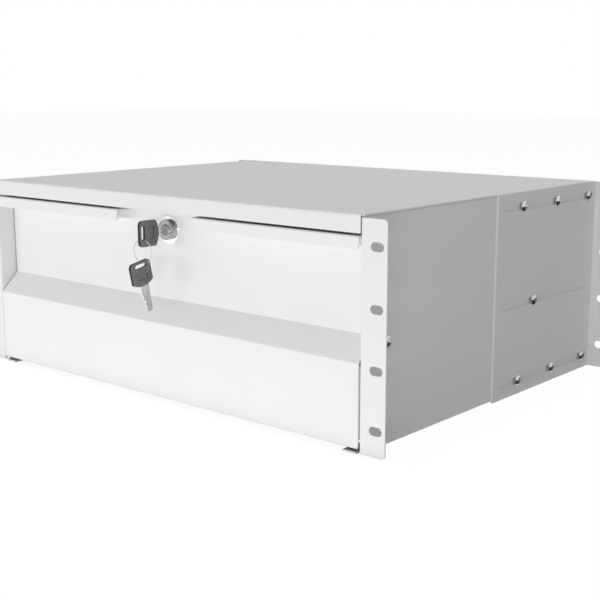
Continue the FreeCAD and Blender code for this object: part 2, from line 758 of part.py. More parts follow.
def strip_face(upper, thickness):
    """The section of a rail or cage: its upper half path, its mirror image below, and its sheet."""
    lower = []
    for kind, *values in reversed(upper):
        if kind == "line":
            (a, b), (c, d) = values
            lower.append(("line", (c, -d), (a, -b)))
        else:
            (a, b), radius, begin, finish = values
            lower.append(("arc", (a, -b), radius, -finish, -begin))
    path = lower + upper
    half = number_of(thickness) / 2
    left = strip_side(path, half)
    right = strip_side(path, -half)
    caps = [Part.LineSegment(left[end].Vertexes[end].Point, right[end].Vertexes[end].Point).toShape()
            for end in (0, -1)]
    return Part.Face(Part.Wire(Part.__sortEdges__(left + right + caps)))


def rolled(name, path, thickness, front, length):
    """A rail or cage with one section along Y, on the right-hand side plate."""
    section = document.addObject("Part::Feature", name + "_section")
    section.Shape = strip_face(path, thickness)
    rail = document.addObject("Part::Extrusion", name)
    rail.Base = section
    rail.DirMode = "Custom"
    rail.Dir = Vector(0, 1, 0)
    rail.Solid = True
    bind(rail, "LengthFwd", length)
    return placed(rail, (inner_half, front, slide_z))


def outer_rail_path():
    """Web on the side plate, hooked over the outer balls."""
    web = size.rail_sheet / 2
    return [span_line((web, 0), (web, outer_ball[1])), span_arc(outer_ball, roll, 180, ANGLES["hook end"])]


def middle_rail_path():
    """Web beside the outer rail, cupped under the outer balls, then humped over the inner ones."""
    web = number_of(size.middle_web + size.rail_sheet / 2)
    fold_radius = number_of(size.roll_corner)
    rise = math.radians(ANGLES["cup start"] - 270)
    radius = number_of(roll)
    cup = (number_of(outer_ball[0]) + radius * math.sin(rise),
           number_of(outer_ball[1]) - radius * math.cos(rise))
    join_x = web + fold_radius * (1 - math.sin(rise))
    join_z = cup[1] - (cup[0] - join_x) * math.tan(rise)
    fold_z = join_z - fold_radius * math.cos(rise)
    return [span_line((web, 0), (web, fold_z)),
            span_arc((web + fold_radius, fold_z), fold_radius, 180, ANGLES["cup start"] - 180),
            span_line((join_x, join_z), cup),
            span_arc(outer_ball, roll, ANGLES["cup start"], ANGLES["cup end"]),
            span_arc(inner_ball, roll, ANGLES["cup end"] - 180, ANGLES["hump end"])]


def inner_rail_path():
    """Web on the tray, cupped under the inner balls."""
    web = size.slide_thickness - size.rail_sheet / 2
    floor = inner_ball[1] - roll
    corner = size.roll_corner
    return [span_line((web, 0), (web, floor - corner)),
            span_arc((web - corner, floor - corner), corner, 0, 90),
            span_line((web - corner, floor), (inner_ball[0], floor)),
            span_arc(inner_ball, roll, 270, ANGLES["cup edge"])]


def cage_path(web, ball):
    """Channel whose flanges hold the balls at their middle."""
    centre = web + size.cage_sheet / 2
    corner = size.cage_sheet
    return [span_line((centre, 0), (centre, ball[1] - corner)),
            span_arc((centre + corner, ball[1] - corner), corner, 180, 90),
            span_line((centre + corner, ball[1]), (ball[0] + size.cage_reach, ball[1]))]


def ball_places(ball):
    """Centres of the balls in both rows of one cage."""
    count = int(number_of(size.cage_length - 2 * size.ball_margin) / number_of(size.ball_pitch)) + 1
    return [(inner_half - ball[0], cage_start + size.ball_margin + size.ball_pitch * step, slide_z + row)
            for step in range(count) for row in (ball[1], -ball[1])]


def ball_cage(name, web, ball):
    """A cage with one window for each ball."""
    strip = rolled(name + "_strip", cage_path(web, ball), size.cage_sheet, cage_start, size.cage_length)
    reach = size.ball_radius + size.ball_pocket
    windows = [block("%s_window_%d" % (name, number), (x - reach, y - reach, z - reach),
                     (x + reach, y + reach, z + reach))
               for number, (x, y, z) in enumerate(ball_places(ball), start=1)]
    return cut(name + "_cage", strip, windows)


def slide_ball():
    """A ball drawn with eight sides round the axis of the slide and bevelled ends."""
    body = new_body("slide_ball_body")
    reach = size.ball_radius * 0.85
    barrel = pad(body, "barrel", "XZ", -reach, reach, octagon((0, 0), size.ball_radius))
    ends = []
    for number, edge in enumerate(body.Shape.Edges, start=1):
        first, last = [vertex.Point for vertex in edge.Vertexes]
        if abs(first.y - last.y) < 1e-4:
            ends.append("Edge%d" % number)
    bevel = body.newObject("PartDesign::Chamfer", "bevels")
    bevel.Base = (barrel, ends)
    bind(bevel, "Size", size.ball_radius * 0.45)
    document.recompute([body])
    return body


ball_master = slide_ball()


def side_holes(name, rail, depth, radius, places):
    """Cross holes through the web of a rail."""
    tools = [octagonal("%s_hole_%d" % (name, number), radius, size.rail_sheet,
                       (inner_half - depth, y, slide_z), ALONG_X)
             for number, y in enumerate(places, start=1)]
    return cut(name, rail, tools)


outer_rail = rolled("outer_rail_strip", outer_rail_path(), size.rail_sheet, size.slide_front, slide_length)
both_sides(side_holes("outer_rail", outer_rail, size.rail_sheet, size.screw_radius + size.plug_clearance,
                      slide_screws), "slide_outer_rail")
both_sides(rolled("middle_rail", middle_rail_path(), size.rail_sheet, size.slide_front, slide_length),
           "slide_middle_rail")
rail_screws = (size.slide_front + size.rail_screw_margin,
               size.slide_front + slide_length - size.rail_screw_margin)
inner_rail = rolled("inner_rail_strip", inner_rail_path(), size.rail_sheet, size.slide_front, slide_length)
both_sides(side_holes("inner_rail", inner_rail, size.slide_thickness,
                      size.small_screw_radius + size.plug_clearance, rail_screws), "slide_inner_rail")

outer_cage_web = size.rail_sheet + size.cage_gap
inner_cage_web = size.middle_web + size.rail_sheet + size.inner_cage_gap
both_sides(ball_cage("outer", outer_cage_web, outer_ball), "slide_outer_cage")
both_sides(ball_cage("inner", inner_cage_web, inner_ball), "slide_inner_cage")
both_sides(copies(ball_master, "outer_ball_group", ball_places(outer_ball)), "slide_outer_balls")
both_sides(copies(ball_master, "inner_ball_group", ball_places(inner_ball)), "slide_inner_balls")


# Drawer.

def corner_notch(corner, side, radius):
    """The waste outside a rounded lower corner; side is 1 on the right and -1 on the left."""
    def draw(sketch):
        centre = (corner[0] - side * radius, corner[1] + radius)
        foot = (centre[0], corner[1])
        flank = (corner[0], centre[1])
        places = [Vector(number_of(a), number_of(b), 0) for a, b in (corner, foot, flank, centre)]
        first = sketch.addGeometry(Part.LineSegment(places[2], places[0]), False)
        second = sketch.addGeometry(Part.LineSegment(places[0], places[1]), False)
        start, end = (-math.pi / 2, 0) if side > 0 else (math.pi, 1.5 * math.pi)
        third = sketch.addGeometry(Part.ArcOfCircle(
            Part.Circle(places[3], Vector(0, 0, 1), number_of(radius)), start, end), False)
        sketch.addConstraint(Sketcher.Constraint("Coincident", first, 2, second, 1))
        at_foot, at_flank = (1, 2) if side > 0 else (2, 1)
        sketch.addConstraint(Sketcher.Constraint("Coincident", second, 2, third, at_foot))
        sketch.addConstraint(Sketcher.Constraint("Coincident", first, 1, third, at_flank))
        fix_point(sketch, first, 2, corner)
        fix_point(sketch, second, 2, foot)
        fix_point(sketch, first, 1, flank)
    return draw


def drawer_front():
    """One bent sheet: lower face, sloping ledge, recessed panel, and two grips at the top."""
    body = new_body("drawer_front_body")
    sheet = size.front_sheet
    depth = size.recess_depth
    ledge_rear = sheet * math.sqrt(2) - sheet
    shelf = front_rise - sheet
    grip_low = front_rise - size.grip_height
    pad(body, "bent_sheet", "YZ", -drawer_half, drawer_half, polygon([
        (size.foot_depth, -front_drop), (0, -front_drop), (0, -size.ledge_drop),
        (depth, depth - size.ledge_drop), (depth, shelf), (sheet, shelf), (sheet, grip_low),
        (0, grip_low), (0, front_rise), (panel_rear, front_rise),
        (panel_rear, depth - size.ledge_drop - ledge_rear), (sheet, -size.ledge_drop - ledge_rear),
        (sheet, tray_floor), (size.foot_depth, tray_floor)]))
    fold(body, "ledge_fold", "X", [(sheet, -size.ledge_drop - ledge_rear), (depth, depth - size.ledge_drop)],
         [(0, -size.ledge_drop), (panel_rear, depth - size.ledge_drop - ledge_rear)], size.bend_radius, sheet)
    fold(body, "foot_fold", "X", [(sheet, tray_floor)], [(0, -front_drop)], size.bend_radius, sheet)
    fold(body, "grip_fold", "X", [(sheet, shelf)], [(0, front_rise)], size.bend_radius, sheet)
    fold(body, "shelf_fold", "X", [(depth, shelf)], [(panel_rear, front_rise)], size.bend_radius, sheet)
    grip_outer = drawer_half - size.grip_margin
    gap_left = size.grip_offset - size.grip_inner
    gap_right = size.grip_offset + size.grip_inner
    pocket(body, "grip_gap", "XZ", 0 * sheet, depth,
           rectangle((gap_left, grip_low), (gap_right, front_rise)),
           rectangle((grip_outer, grip_low), (drawer_half, front_rise)),
           rectangle((-drawer_half, grip_low), (-grip_outer, front_rise)))
    corners = [(place, grip_low) for place in (-grip_outer, gap_left, gap_right, grip_outer)]
    fillet(body, "grip_corners", size.grip_corner, edges_along(body, "Y", *corners))
    foot_end = drawer_half - size.foot_margin
    pocket(body, "foot_ends", "XY", -front_drop, tray_floor + size.bend_radius,
           rectangle((foot_end, sheet), (drawer_half, size.foot_depth)),
           rectangle((-drawer_half, sheet), (-foot_end, size.foot_depth)))
    for side, name in ((1, "right"), (-1, "left")):
        outer = side * drawer_half
        inner = side * (drawer_half - sheet)
        low, high = (inner, outer) if side > 0 else (outer, inner)
        pad(body, name + "_return", "YZ", low, high,
            rectangle((0 * sheet, size.return_lift - front_drop),
                      (size.return_depth, -size.ledge_drop - size.return_start)))
        pocket(body, name + "_corner", "XZ", 0 * sheet, sheet,
               corner_notch((outer, -front_drop), side, size.front_corner))
    pocket(body, "lock_hole", "XZ", depth, panel_rear,
           circle((size.lock_offset, lock_rise), size.lock_body_radius + size.hole_clearance))
    return body


keep(drawer_front(), "drawer_front")

stud_places = [(side * spread, size.stud_height) for side in (-1, 1)
               for spread in (size.stud_inner, tray_half - size.stud_margin)]


def drawer_tray():
    """Open tray folded from one sheet, with hems along its sides and a lower front wall."""
    body = new_body("drawer_tray_body")
    sheet = size.tray_sheet
    pad(body, "outside", "XY", tray_floor, tray_rise,
        rectangle((-tray_half, panel_rear), (tray_half, tray_rear)))
    fillet(body, "floor_folds", size.tray_bend,
           edges_along(body, "Y", (tray_half, tray_floor), (-tray_half, tray_floor)))
    pocket(body, "inside", "XY", tray_floor + sheet, tray_rise - sheet,
           rectangle((sheet - tray_half, panel_rear + sheet), (tray_half - sheet, tray_rear - sheet)))
    pocket(body, "mouth", "XY", tray_rise - sheet, tray_rise,
           rectangle((size.tray_hem - tray_half, panel_rear + sheet),
                     (tray_half - size.tray_hem, tray_rear - sheet)))
    pocket(body, "front_cut", "XZ", panel_rear, panel_rear + sheet,
           rectangle((sheet - tray_half, tray_rise - size.tray_front_step), (tray_half - sheet, tray_rise)))
    pocket(body, "stud_holes", "XZ", panel_rear, panel_rear + sheet,
           *[octagon(place, size.stud_radius + size.hole_clearance) for place in stud_places])
    for name, low, high in (("right", tray_half - sheet, tray_half), ("left", -tray_half, sheet - tray_half)):
        pocket(body, name + "_rail_holes", "YZ", low, high,
               *[octagon((y, slide_z), size.small_screw_radius + size.hole_clearance) for y in rail_screws])
    return body


keep(drawer_tray(), "drawer_tray")

rail_screw = screw("rail_screw", size.small_head_radius, size.small_head_height,
                          size.small_screw_radius, size.tray_sheet + size.rail_sheet)
both_sides(copies(rail_screw, "rail_screw_group",
                  [(tray_half - size.tray_sheet, y, slide_z) for y in rail_screws], AGAINST_X), "rail_screws")

stud = octagonal("weld_stud", size.stud_radius, size.stud_length, (0, 0, 0))
keep(copies(stud, "weld_stud_group", [(x, panel_rear, z) for x, z in stud_places], ALONG_Y), "front_studs")


def hexagon_nut(name, flats, height, bore):
    """A hexagon nut along Z, standing on Z = 0, cut by the tool for its bore."""
    prism = document.addObject("Part::Prism", name + "_prism")
    prism.Polygon = 6
    bind(prism, "Circumradius", flats / math.sqrt(3))
    bind(prism, "Height", height)
    return cut(name, prism, [bore])


stud_nut_bore = octagonal("stud_nut_bore", size.stud_radius + size.plug_clearance, size.stud_nut_height,
                          (0, 0, 0))
stud_nut = hexagon_nut("stud_nut", size.stud_nut_flats, size.stud_nut_height, stud_nut_bore)
keep(copies(stud_nut, "stud_nut_group",
            [(x, panel_rear + size.tray_sheet, z) for x, z in stud_places], ALONG_Y), "stud_nuts")


# Cam lock. Its axis runs along Y.

def on_axis(name, radius, front, rear):
    """A cylinder on the lock's axis."""
    return cylinder(name, radius, rear - front, (size.lock_offset, front, lock_rise), ALONG_Y)


ring_front = size.recess_depth - size.lock_ring_thickness
lock_body = fuse("lock_body", [
    on_axis("lock_head", size.lock_face_radius, lock_face, ring_front),
    on_axis("lock_barrel", size.lock_body_radius, ring_front, lock_body_rear)])
keep(cut("lock_housing_cut", lock_body,
         [on_axis("lock_bore", size.plug_radius + size.plug_clearance, lock_face, lock_body_rear)]),
     "lock_housing")
keep(cut("lock_ring_cut", on_axis("lock_ring_disc", size.lock_ring_radius, ring_front, size.recess_depth),
         [on_axis("lock_ring_bore", size.lock_body_radius + size.plug_clearance, ring_front,
                  size.recess_depth)]), "lock_ring")

lock_nut_bore = cylinder("lock_nut_bore", size.lock_body_radius + size.plug_clearance, size.lock_nut_height,
                         (0, 0, 0))
lock_nut = hexagon_nut("lock_nut_body", size.lock_nut_flats, size.lock_nut_height, lock_nut_bore)
keep(placed(lock_nut, (size.lock_offset, panel_rear, lock_rise), ALONG_Y), "lock_nut")

cam_rear = cam_front + size.cam_sheet
key_face = lock_face - size.key_gap
blade_rear = key_face + size.blade_length
plug_front = lock_face - size.plug_proud
square = size.cam_square / 2
keyway_half = size.blade_thickness / 2 + size.key_clearance
keyway_reach = size.blade_height / 2 + size.key_clearance
bore_front = blade_rear + 6 * size.key_clearance


def across_axis(name, half_width, half_height, front, rear):
    """A block centred on the lock's axis."""
    return block(name, (size.lock_offset - half_width, front, lock_rise - half_height),
                 (size.lock_offset + half_width, rear, lock_rise + half_height))


plug_solid = fuse("plug_solid", [
    on_axis("plug_barrel", size.plug_radius, plug_front, lock_body_rear),
    across_axis("plug_square", square, square, lock_body_rear, cam_rear)])
keep(cut("plug_cut", plug_solid, [
    across_axis("keyway", keyway_half, keyway_reach, plug_front, blade_rear + 2 * size.key_clearance),
    octagonal("cam_screw_bore", size.small_screw_radius + size.plug_clearance, cam_rear - bore_front,
              (size.lock_offset, bore_front, lock_rise), ALONG_Y)]),
    "lock_plug")


def lock_cam():
    """Flat cam with a square hole, pointing left while the drawer is unlocked."""
    body = new_body("lock_cam_body")
    middle = size.lock_offset
    tip = middle - size.cam_length + size.cam_width / 2
    level = lock_rise
    pad(body, "arm", "XZ", cam_front, cam_rear, slot((tip, level), (middle, level), size.cam_width))
    hole = square + size.plug_clearance
    pocket(body, "square_hole", "XZ", cam_front, cam_rear,
           rectangle((middle - hole, level - hole), (middle + hole, level + hole)))
    return body


keep(lock_cam(), "lock_cam")

cam_screw = screw("cam_screw_body", size.cam_screw_head, size.small_head_height,
                         size.small_screw_radius, cam_rear - bore_front - size.key_clearance)
keep(placed(cam_screw, (size.lock_offset, cam_rear, lock_rise), ALONG_Y), "lock_cam_screw")


# Keys. A key is drawn along Y with its blade pointing to +Y, its bow upright, and the bow's
# edge that faces the lock at Y = 0.

bow_slot_y = size.bow_bar + size.bow_slot_width / 2 - size.bow_length
slot_reach = (size.bow_slot_length - size.bow_slot_width) / 2


def bow_outline():
    """Rounded rectangle whose edge towards the blade bulges out."""
    def draw(sketch):
        half = size.bow_height / 2
        rear = -size.bow_length
        shoulder = -size.bow_bulge
        low = -size.bow_drop - half
        high = half - size.bow_drop
        corners = [(shoulder, low), (shoulder, high), (rear, high), (rear, low)]
        points = [Vector(number_of(a), number_of(b), 0) for a, b in corners]
        middle = Vector(0, -number_of(size.bow_drop), 0)
        edges = [Part.Arc(points[0], middle, points[1])]
        edges += [Part.LineSegment(points[index], points[(index + 1) % 4]) for index in (1, 2, 3)]
        for edge in edges:
            sketch.addGeometry(edge, False)
        for index in range(4):
            sketch.addConstraint(Sketcher.Constraint("Coincident", index, 2, (index + 1) % 4, 1))
            fix_point(sketch, index, 1, corners[index])
    return draw


def key_bow(name):
    """Moulded bow with its ring slot and a shallow field on each face."""
    body = new_body(name)
    half = size.bow_thickness / 2
    pad(body, name + "_plate", "YZ", -half, half, bow_outline())
    corners = [(-size.bow_length, side * size.bow_height / 2 - size.bow_drop) for side in (-1, 1)]
    fillet(body, name + "_corners", size.bow_corner, edges_along(body, "X", *corners))
    pocket(body, name + "_slot", "YZ", -half, half,
           slot((bow_slot_y, -slot_reach - size.field_drop), (bow_slot_y, slot_reach - size.field_drop),
                size.bow_slot_width))
    field_start = bow_slot_y + size.bow_slot_width / 2 + size.bow_recess_start
    field = rectangle((field_start, -size.bow_recess_height / 2 - size.field_drop),
                      (field_start + size.bow_recess_length, size.bow_recess_height / 2 - size.field_drop))
    pocket(body, name + "_field_right", "YZ", half - size.bow_recess_depth, half, field)
    pocket(body, name + "_field_left", "YZ", -half, size.bow_recess_depth - half, field)
    tang_half = size.blade_thickness / 2
    pocket(body, name + "_tang", "YZ", -tang_half, tang_half,
           rectangle((-size.blade_tang, -size.blade_height / 2), (size.bow_bulge, size.blade_height / 2)))
    return body


def key_blade(name):
    """Steel blade with a tang in the bow, a shoulder, and bit cuts along its lower edge."""
    body = new_body(name)
    half = size.blade_height / 2
    shoulder = size.shoulder_height / 2
    stop = size.key_gap - size.key_clearance * 2
    cuts = [(0.95, 0.35), (0.80, 0.10), (0.66, 0.42), (0.50, 0.18), (0.36, 0.50), (0.22, 0.0)]
    bitted = [(stop + (size.blade_length - stop) * share, -half + half * depth) for share, depth in cuts]
    corners = [(-size.blade_tang, -half), (-size.blade_tang, half), (0 * half, half), (0 * half, shoulder),
               (stop, shoulder), (stop, half), (size.blade_length - half / 2, half),
               (size.blade_length, half / 2), (size.blade_length, 0 * half)]
    corners += bitted + [(stop, -half), (stop, -shoulder), (0 * half, -shoulder), (0 * half, -half)]
    pad(body, name + "_plate", "YZ", -size.blade_thickness / 2, size.blade_thickness / 2, polygon(corners))
    return body


keep(placed(key_bow("key_bow_body"), (size.lock_offset, key_face, lock_rise)), "key_bow")
keep(placed(key_blade("key_blade_body"), (size.lock_offset, key_face, lock_rise)), "key_blade")

ring_y = key_face + bow_slot_y
ring_top = lock_rise - size.field_drop - size.bow_slot_length / 2 + size.ring_gap + size.ring_wire
ring_z = ring_top - size.ring_radius


def key_ring():
    """Ring of squared wire, turned about Z."""
    body = new_body("key_ring_body")
    section = rectangle((size.ring_radius - size.ring_flat, -size.ring_flat),
                        (size.ring_radius + size.ring_flat, size.ring_flat))
    sketch = new_sketch(body, "ring_section", "XZ", 0 * size.ring_flat, [section])
    feature = body.newObject("PartDesign::Revolution", "ring_turning")
    feature.Profile = sketch
    feature.ReferenceAxis = (sketch, ["V_Axis"])
    feature.Angle = 360
    document.recompute([body])
    return body


ring_turn = Rotation(Vector(0, 0, 1), number_of(size.ring_turn))
keep(placed(key_ring(), (size.lock_offset, ring_y, ring_z), ring_turn.multiply(ALONG_Y)), "key_ring")


def hang(key):
    """Hang a spare key's piece by its slot from the bottom of the ring, leaning to its balance."""
    turn = Rotation(Vector(1, 0, 0), -90 + number_of(size.spare_tilt))
    seat_y = bow_slot_y - size.bow_slot_width / 2 + size.ring_wire + size.ring_gap
    seat = turn.multVec(Vector(0, number_of(seat_y), number_of(size.spare_offset - size.field_drop)))
    spot = Vector(number_of(size.lock_offset), number_of(ring_y), number_of(ring_z - size.ring_radius))
    key.Placement = Placement(spot - seat, turn)
    return key


keep(hang(key_bow("spare_bow_body")), "spare_key_bow")
keep(hang(key_blade("spare_blade_body")), "spare_key_blade")


# Checks and files.

document.recompute()
for item in document.Objects:
    if "Invalid" in item.State or "Error" in item.State:
        raise RuntimeError("%s failed: %s" % (item.Name, item.State))
for item in nodes:
    if item.Shape.isNull() or not item.Shape.isValid() or not item.Shape.Solids:
        raise RuntimeError("%s has no valid solid" % item.Label)

os.makedirs("parts", exist_ok=True)
for item in nodes:
    item.Shape.exportStep("parts/%s.step" % item.Label)
print("%d pieces, %d solids" % (len(nodes), sum(len(item.Shape.Solids) for item in nodes)))
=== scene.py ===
import json
import math

import bmesh
import bpy
from mathutils import Matrix, Vector


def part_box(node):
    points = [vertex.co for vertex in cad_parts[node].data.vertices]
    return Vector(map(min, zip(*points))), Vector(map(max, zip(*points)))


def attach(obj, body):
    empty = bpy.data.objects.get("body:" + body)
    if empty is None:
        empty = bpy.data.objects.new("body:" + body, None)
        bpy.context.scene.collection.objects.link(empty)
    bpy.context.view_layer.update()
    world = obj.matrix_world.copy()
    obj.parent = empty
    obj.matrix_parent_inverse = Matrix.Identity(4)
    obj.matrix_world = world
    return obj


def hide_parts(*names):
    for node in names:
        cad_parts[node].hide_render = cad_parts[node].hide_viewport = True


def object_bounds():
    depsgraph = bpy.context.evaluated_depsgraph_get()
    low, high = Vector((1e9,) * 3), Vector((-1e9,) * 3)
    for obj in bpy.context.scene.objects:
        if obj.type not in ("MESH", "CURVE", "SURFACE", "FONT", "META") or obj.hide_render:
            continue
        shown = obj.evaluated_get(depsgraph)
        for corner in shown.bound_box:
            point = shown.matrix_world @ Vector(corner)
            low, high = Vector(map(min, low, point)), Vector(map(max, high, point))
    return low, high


# Looks of the sliding rack drawer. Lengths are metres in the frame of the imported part:
# X across, Y towards the back, Z up. The key's own drawing has Y along the key.

MM = 0.001

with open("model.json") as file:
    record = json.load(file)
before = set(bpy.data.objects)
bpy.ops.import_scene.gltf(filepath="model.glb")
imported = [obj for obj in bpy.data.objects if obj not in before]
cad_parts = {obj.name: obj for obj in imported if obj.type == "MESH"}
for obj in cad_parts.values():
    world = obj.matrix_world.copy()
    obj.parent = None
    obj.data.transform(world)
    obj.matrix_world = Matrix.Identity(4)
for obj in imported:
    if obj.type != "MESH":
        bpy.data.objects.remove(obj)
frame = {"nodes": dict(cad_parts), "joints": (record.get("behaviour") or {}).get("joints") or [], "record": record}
cad_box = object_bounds()


# Places read from the frame.

def solids(node):
    """Lowest and highest corner of each separate solid of a node."""
    mesh = bmesh.new()
    mesh.from_mesh(frame["nodes"][node].data)
    bmesh.ops.remove_doubles(mesh, verts=mesh.verts, dist=0.001 * MM)
    waiting = set(mesh.verts)
    boxes = []
    while waiting:
        group = [waiting.pop()]
        for vertex in group:
            for edge in vertex.link_edges:
                other = edge.other_vert(vertex)
                if other in waiting:
                    waiting.remove(other)
                    group.append(other)
        low = Vector([min(vertex.co[axis] for vertex in group) for axis in range(3)])
        high = Vector([max(vertex.co[axis] for vertex in group) for axis in range(3)])
        boxes.append((low, high))
    mesh.free()
    return sorted(boxes, key=lambda box: tuple(box[0]))


def joint_place(name):
    """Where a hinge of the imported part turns."""
    for joint in frame["joints"]:
        if joint["name"] == name:
            return Vector(joint["pos_m"])
    raise ValueError(name)


lock_axis = joint_place("lock_turn")


# Node trees. One wrapper serves shaders and geometry.

class Value:
    """The output of a node, with operators that add Math nodes."""

    def __init__(self, tree, socket):
        self.tree = tree
        self.socket = socket

    def math(self, operation, *values):
        return self.tree.add("ShaderNodeMath", {"operation": operation}, dict(enumerate(values)))

    def __add__(self, other):
        return self.math("ADD", self, other)

    def __radd__(self, other):
        return self.math("ADD", other, self)

    def __sub__(self, other):
        return self.math("SUBTRACT", self, other)

    def __rsub__(self, other):
        return self.math("SUBTRACT", other, self)

    def __mul__(self, other):
        return self.math("MULTIPLY", self, other)

    def __rmul__(self, other):
        return self.math("MULTIPLY", other, self)

    def __truediv__(self, other):
        return self.math("DIVIDE", self, other)

    def __pow__(self, other):
        return self.math("POWER", self, other)

    def at_most(self, limit):
        return self.math("MINIMUM", self, limit)


class Tree:
    """A node tree that is built one call at a time."""

    def __init__(self, nodes):
        self.nodes = nodes

    def add(self, kind, settings=None, inputs=None, output=0):
        """Adds a node, sets it, links or fills its sockets, and gives one of its outputs."""
        node = self.nodes.nodes.new(kind)
        for name, setting in (settings or {}).items():
            setattr(node, name, setting)
        for name, value in (inputs or {}).items():
            for part in value if isinstance(value, list) else [value]:
                if isinstance(part, Value):
                    self.nodes.links.new(part.socket, node.inputs[name])
                else:
                    node.inputs[name].default_value = part
        return Value(self, node.outputs[output]) if node.outputs else node

    def ramp(self, factor, stops):
        """A colour ramp over grey or coloured stops."""
        node = self.nodes.nodes.new("ShaderNodeValToRGB")
        elements = node.color_ramp.elements
        while len(elements) < len(stops):
            elements.new(0.5)
        for element, (place, colour) in zip(elements, stops):
            element.position = place
            element.color = colour
        self.nodes.links.new(factor.socket, node.inputs[0])
        return Value(self, node.outputs[0])


# Materials.

def grey(level):
    """A neutral colour."""
    return (level, level, level, 1.0)


def new_material(name):
    """An empty material and its tree."""
    material = bpy.data.materials.new(name)
    material.use_nodes = True
    material.node_tree.nodes.clear()
    return material, Tree(material.node_tree)


def noise(tree, scale, detail=3.0, stretch=(1.0, 1.0, 1.0)):
    """Noise from 0 to 1 over the object, finer along the axes with a larger stretch."""
    place = tree.add("ShaderNodeTexCoord", output="Object")
    spread = tree.add("ShaderNodeMapping", inputs={"Vector": place, "Scale": stretch})
    return tree.add("ShaderNodeTexNoise", inputs={"Vector": spread, "Scale": scale, "Detail": detail})


def surface(tree, constants, **linked):
    """A Principled surface and the material's output."""
    inputs = dict(constants)
    inputs.update({name.replace("_", " "): value for name, value in linked.items()})
    shader = tree.add("ShaderNodeBsdfPrincipled", inputs=inputs)
    tree.add("ShaderNodeOutputMaterial", inputs={"Surface": shader})


def powder_coat(name, level, roughness):
    """White powder coat: a fine orange-peel skin, with faint cloudiness in tone and sheen."""
    material, tree = new_material(name)
    cloud = noise(tree, 14.0, 4.0)
    peel = noise(tree, 1400.0, 2.0)
    grain = noise(tree, 5200.0, 1.0)
    tone = tree.ramp(cloud, [(0.3, grey(level * 0.985)), (0.7, grey(level))])
    bump = tree.add("ShaderNodeBump", inputs={
        "Height": peel * 0.7 + grain * 0.3, "Strength": 0.18, "Distance": 0.05 * MM})
    surface(tree, {"Metallic": 0.0, "IOR": 1.46, "Specular IOR Level": 0.35}, Base_Color=tone,
            Roughness=roughness + (cloud - 0.5) * 0.08 + (peel - 0.5) * 0.05, Normal=bump)
    return material


def rolled_zinc(name, level, roughness, along):
    """Zinc-plated steel with fine drawing lines along one axis."""
    material, tree = new_material(name)
    stretch = tuple(1.0 if axis == along else 30.0 for axis in range(3))
    lines = noise(tree, 60.0, 4.0, stretch)
    bloom = noise(tree, 45.0, 5.0)
    tone = tree.ramp(bloom * 0.6 + lines * 0.4, [(0.3, grey(level * 0.86)), (0.7, grey(level))])
    bump = tree.add("ShaderNodeBump", inputs={"Height": lines, "Strength": 0.12, "Distance": 0.04 * MM})
    surface(tree, {"Metallic": 1.0}, Base_Color=tone,
            Roughness=roughness + (lines - 0.5) * 0.18 + (bloom - 0.5) * 0.1, Normal=bump)
    return material


def plated(name, level, roughness):
    """Bright plating with faint polishing marks."""
    material, tree = new_material(name)
    marks = noise(tree, 900.0, 4.0, (1.0, 4.0, 1.0))
    haze = noise(tree, 240.0, 3.0)
    tone = tree.ramp(haze, [(0.3, grey(level * 0.9)), (0.7, grey(level))])
    bump = tree.add("ShaderNodeBump", inputs={"Height": marks, "Strength": 0.06, "Distance": 0.02 * MM})
    surface(tree, {"Metallic": 1.0}, Base_Color=tone,
            Roughness=roughness + (haze - 0.5) * 0.1 + (marks - 0.5) * 0.06, Normal=bump)
    return material


def moulded_cap(name, level, edge):
    """Moulded grey plastic with a fine matt grain, with painted shade that turns its edges and walls black."""
    material, tree = new_material(name)
    grain = noise(tree, 2600.0, 3.0)
    cloud = noise(tree, 180.0, 3.0)
    across = tree.add("ShaderNodeSeparateXYZ", inputs={
        "Vector": tree.add("ShaderNodeTexCoord", output="Normal")})
    # Painted shade: the tone falls from grey to black as the surface turns away from the X axis, standing in for
    # shade on the cap's edges and walls.
    painted_shade_mask = across * across + (cloud - 0.5) * 0.16
    tone = tree.ramp(painted_shade_mask, [(0.5, grey(edge)), (0.85, grey(level * 0.85)), (1.0, grey(level))])
    bump = tree.add("ShaderNodeBump", inputs={"Height": grain, "Strength": 0.2, "Distance": 0.03 * MM})
    surface(tree, {"Metallic": 0.0, "IOR": 1.5, "Specular IOR Level": 0.12}, Base_Color=tone,
            Roughness=0.42 + (cloud - 0.5) * 0.12 + (grain - 0.5) * 0.08, Normal=bump)
    return material


finishes = {
    "casing_paint": powder_coat("casing_powder_coat", 0.86, 0.56),
    "bracket_paint": powder_coat("bracket_powder_coat", 0.85, 0.58),
    "drawer_paint": powder_coat("drawer_powder_coat", 0.88, 0.54),
    "rail_zinc": rolled_zinc("rail_zinc_plate", 0.62, 0.32, 1),
    "cage_steel": rolled_zinc("cage_stamped_steel", 0.5, 0.38, 1),
    "ball_steel": plated("ball_polished_steel", 0.75, 0.08),
    "screw_nickel": plated("screw_nickel_plate", 0.66, 0.16),
    "nut_zinc": rolled_zinc("nut_zinc_plate", 0.6, 0.36, 2),
    "lock_chrome": plated("lock_chrome_plate", 0.36, 0.24),
    "lock_trim": plated("lock_trim_plate", 0.86, 0.14),
    "key_steel": plated("key_nickel_plate", 0.62, 0.22),
    # The last value is the black of the painted shade on the key cap's edges and walls.
    "key_cap": moulded_cap("key_cap_plastic", 0.2, 0.012),
    "ring_wire": plated("ring_polished_wire", 0.5, 0.34),
}

for part in frame["record"]["subparts"]:
    materials = frame["nodes"][part["node"]].data.materials
    finish = finishes[part["material_slot"]]
    if len(materials):
        materials[0] = finish
    else:
        materials.append(finish)


# Meshes.

SHARP_ANGLE = math.radians(32)
BEVEL_ANGLE = math.radians(40)


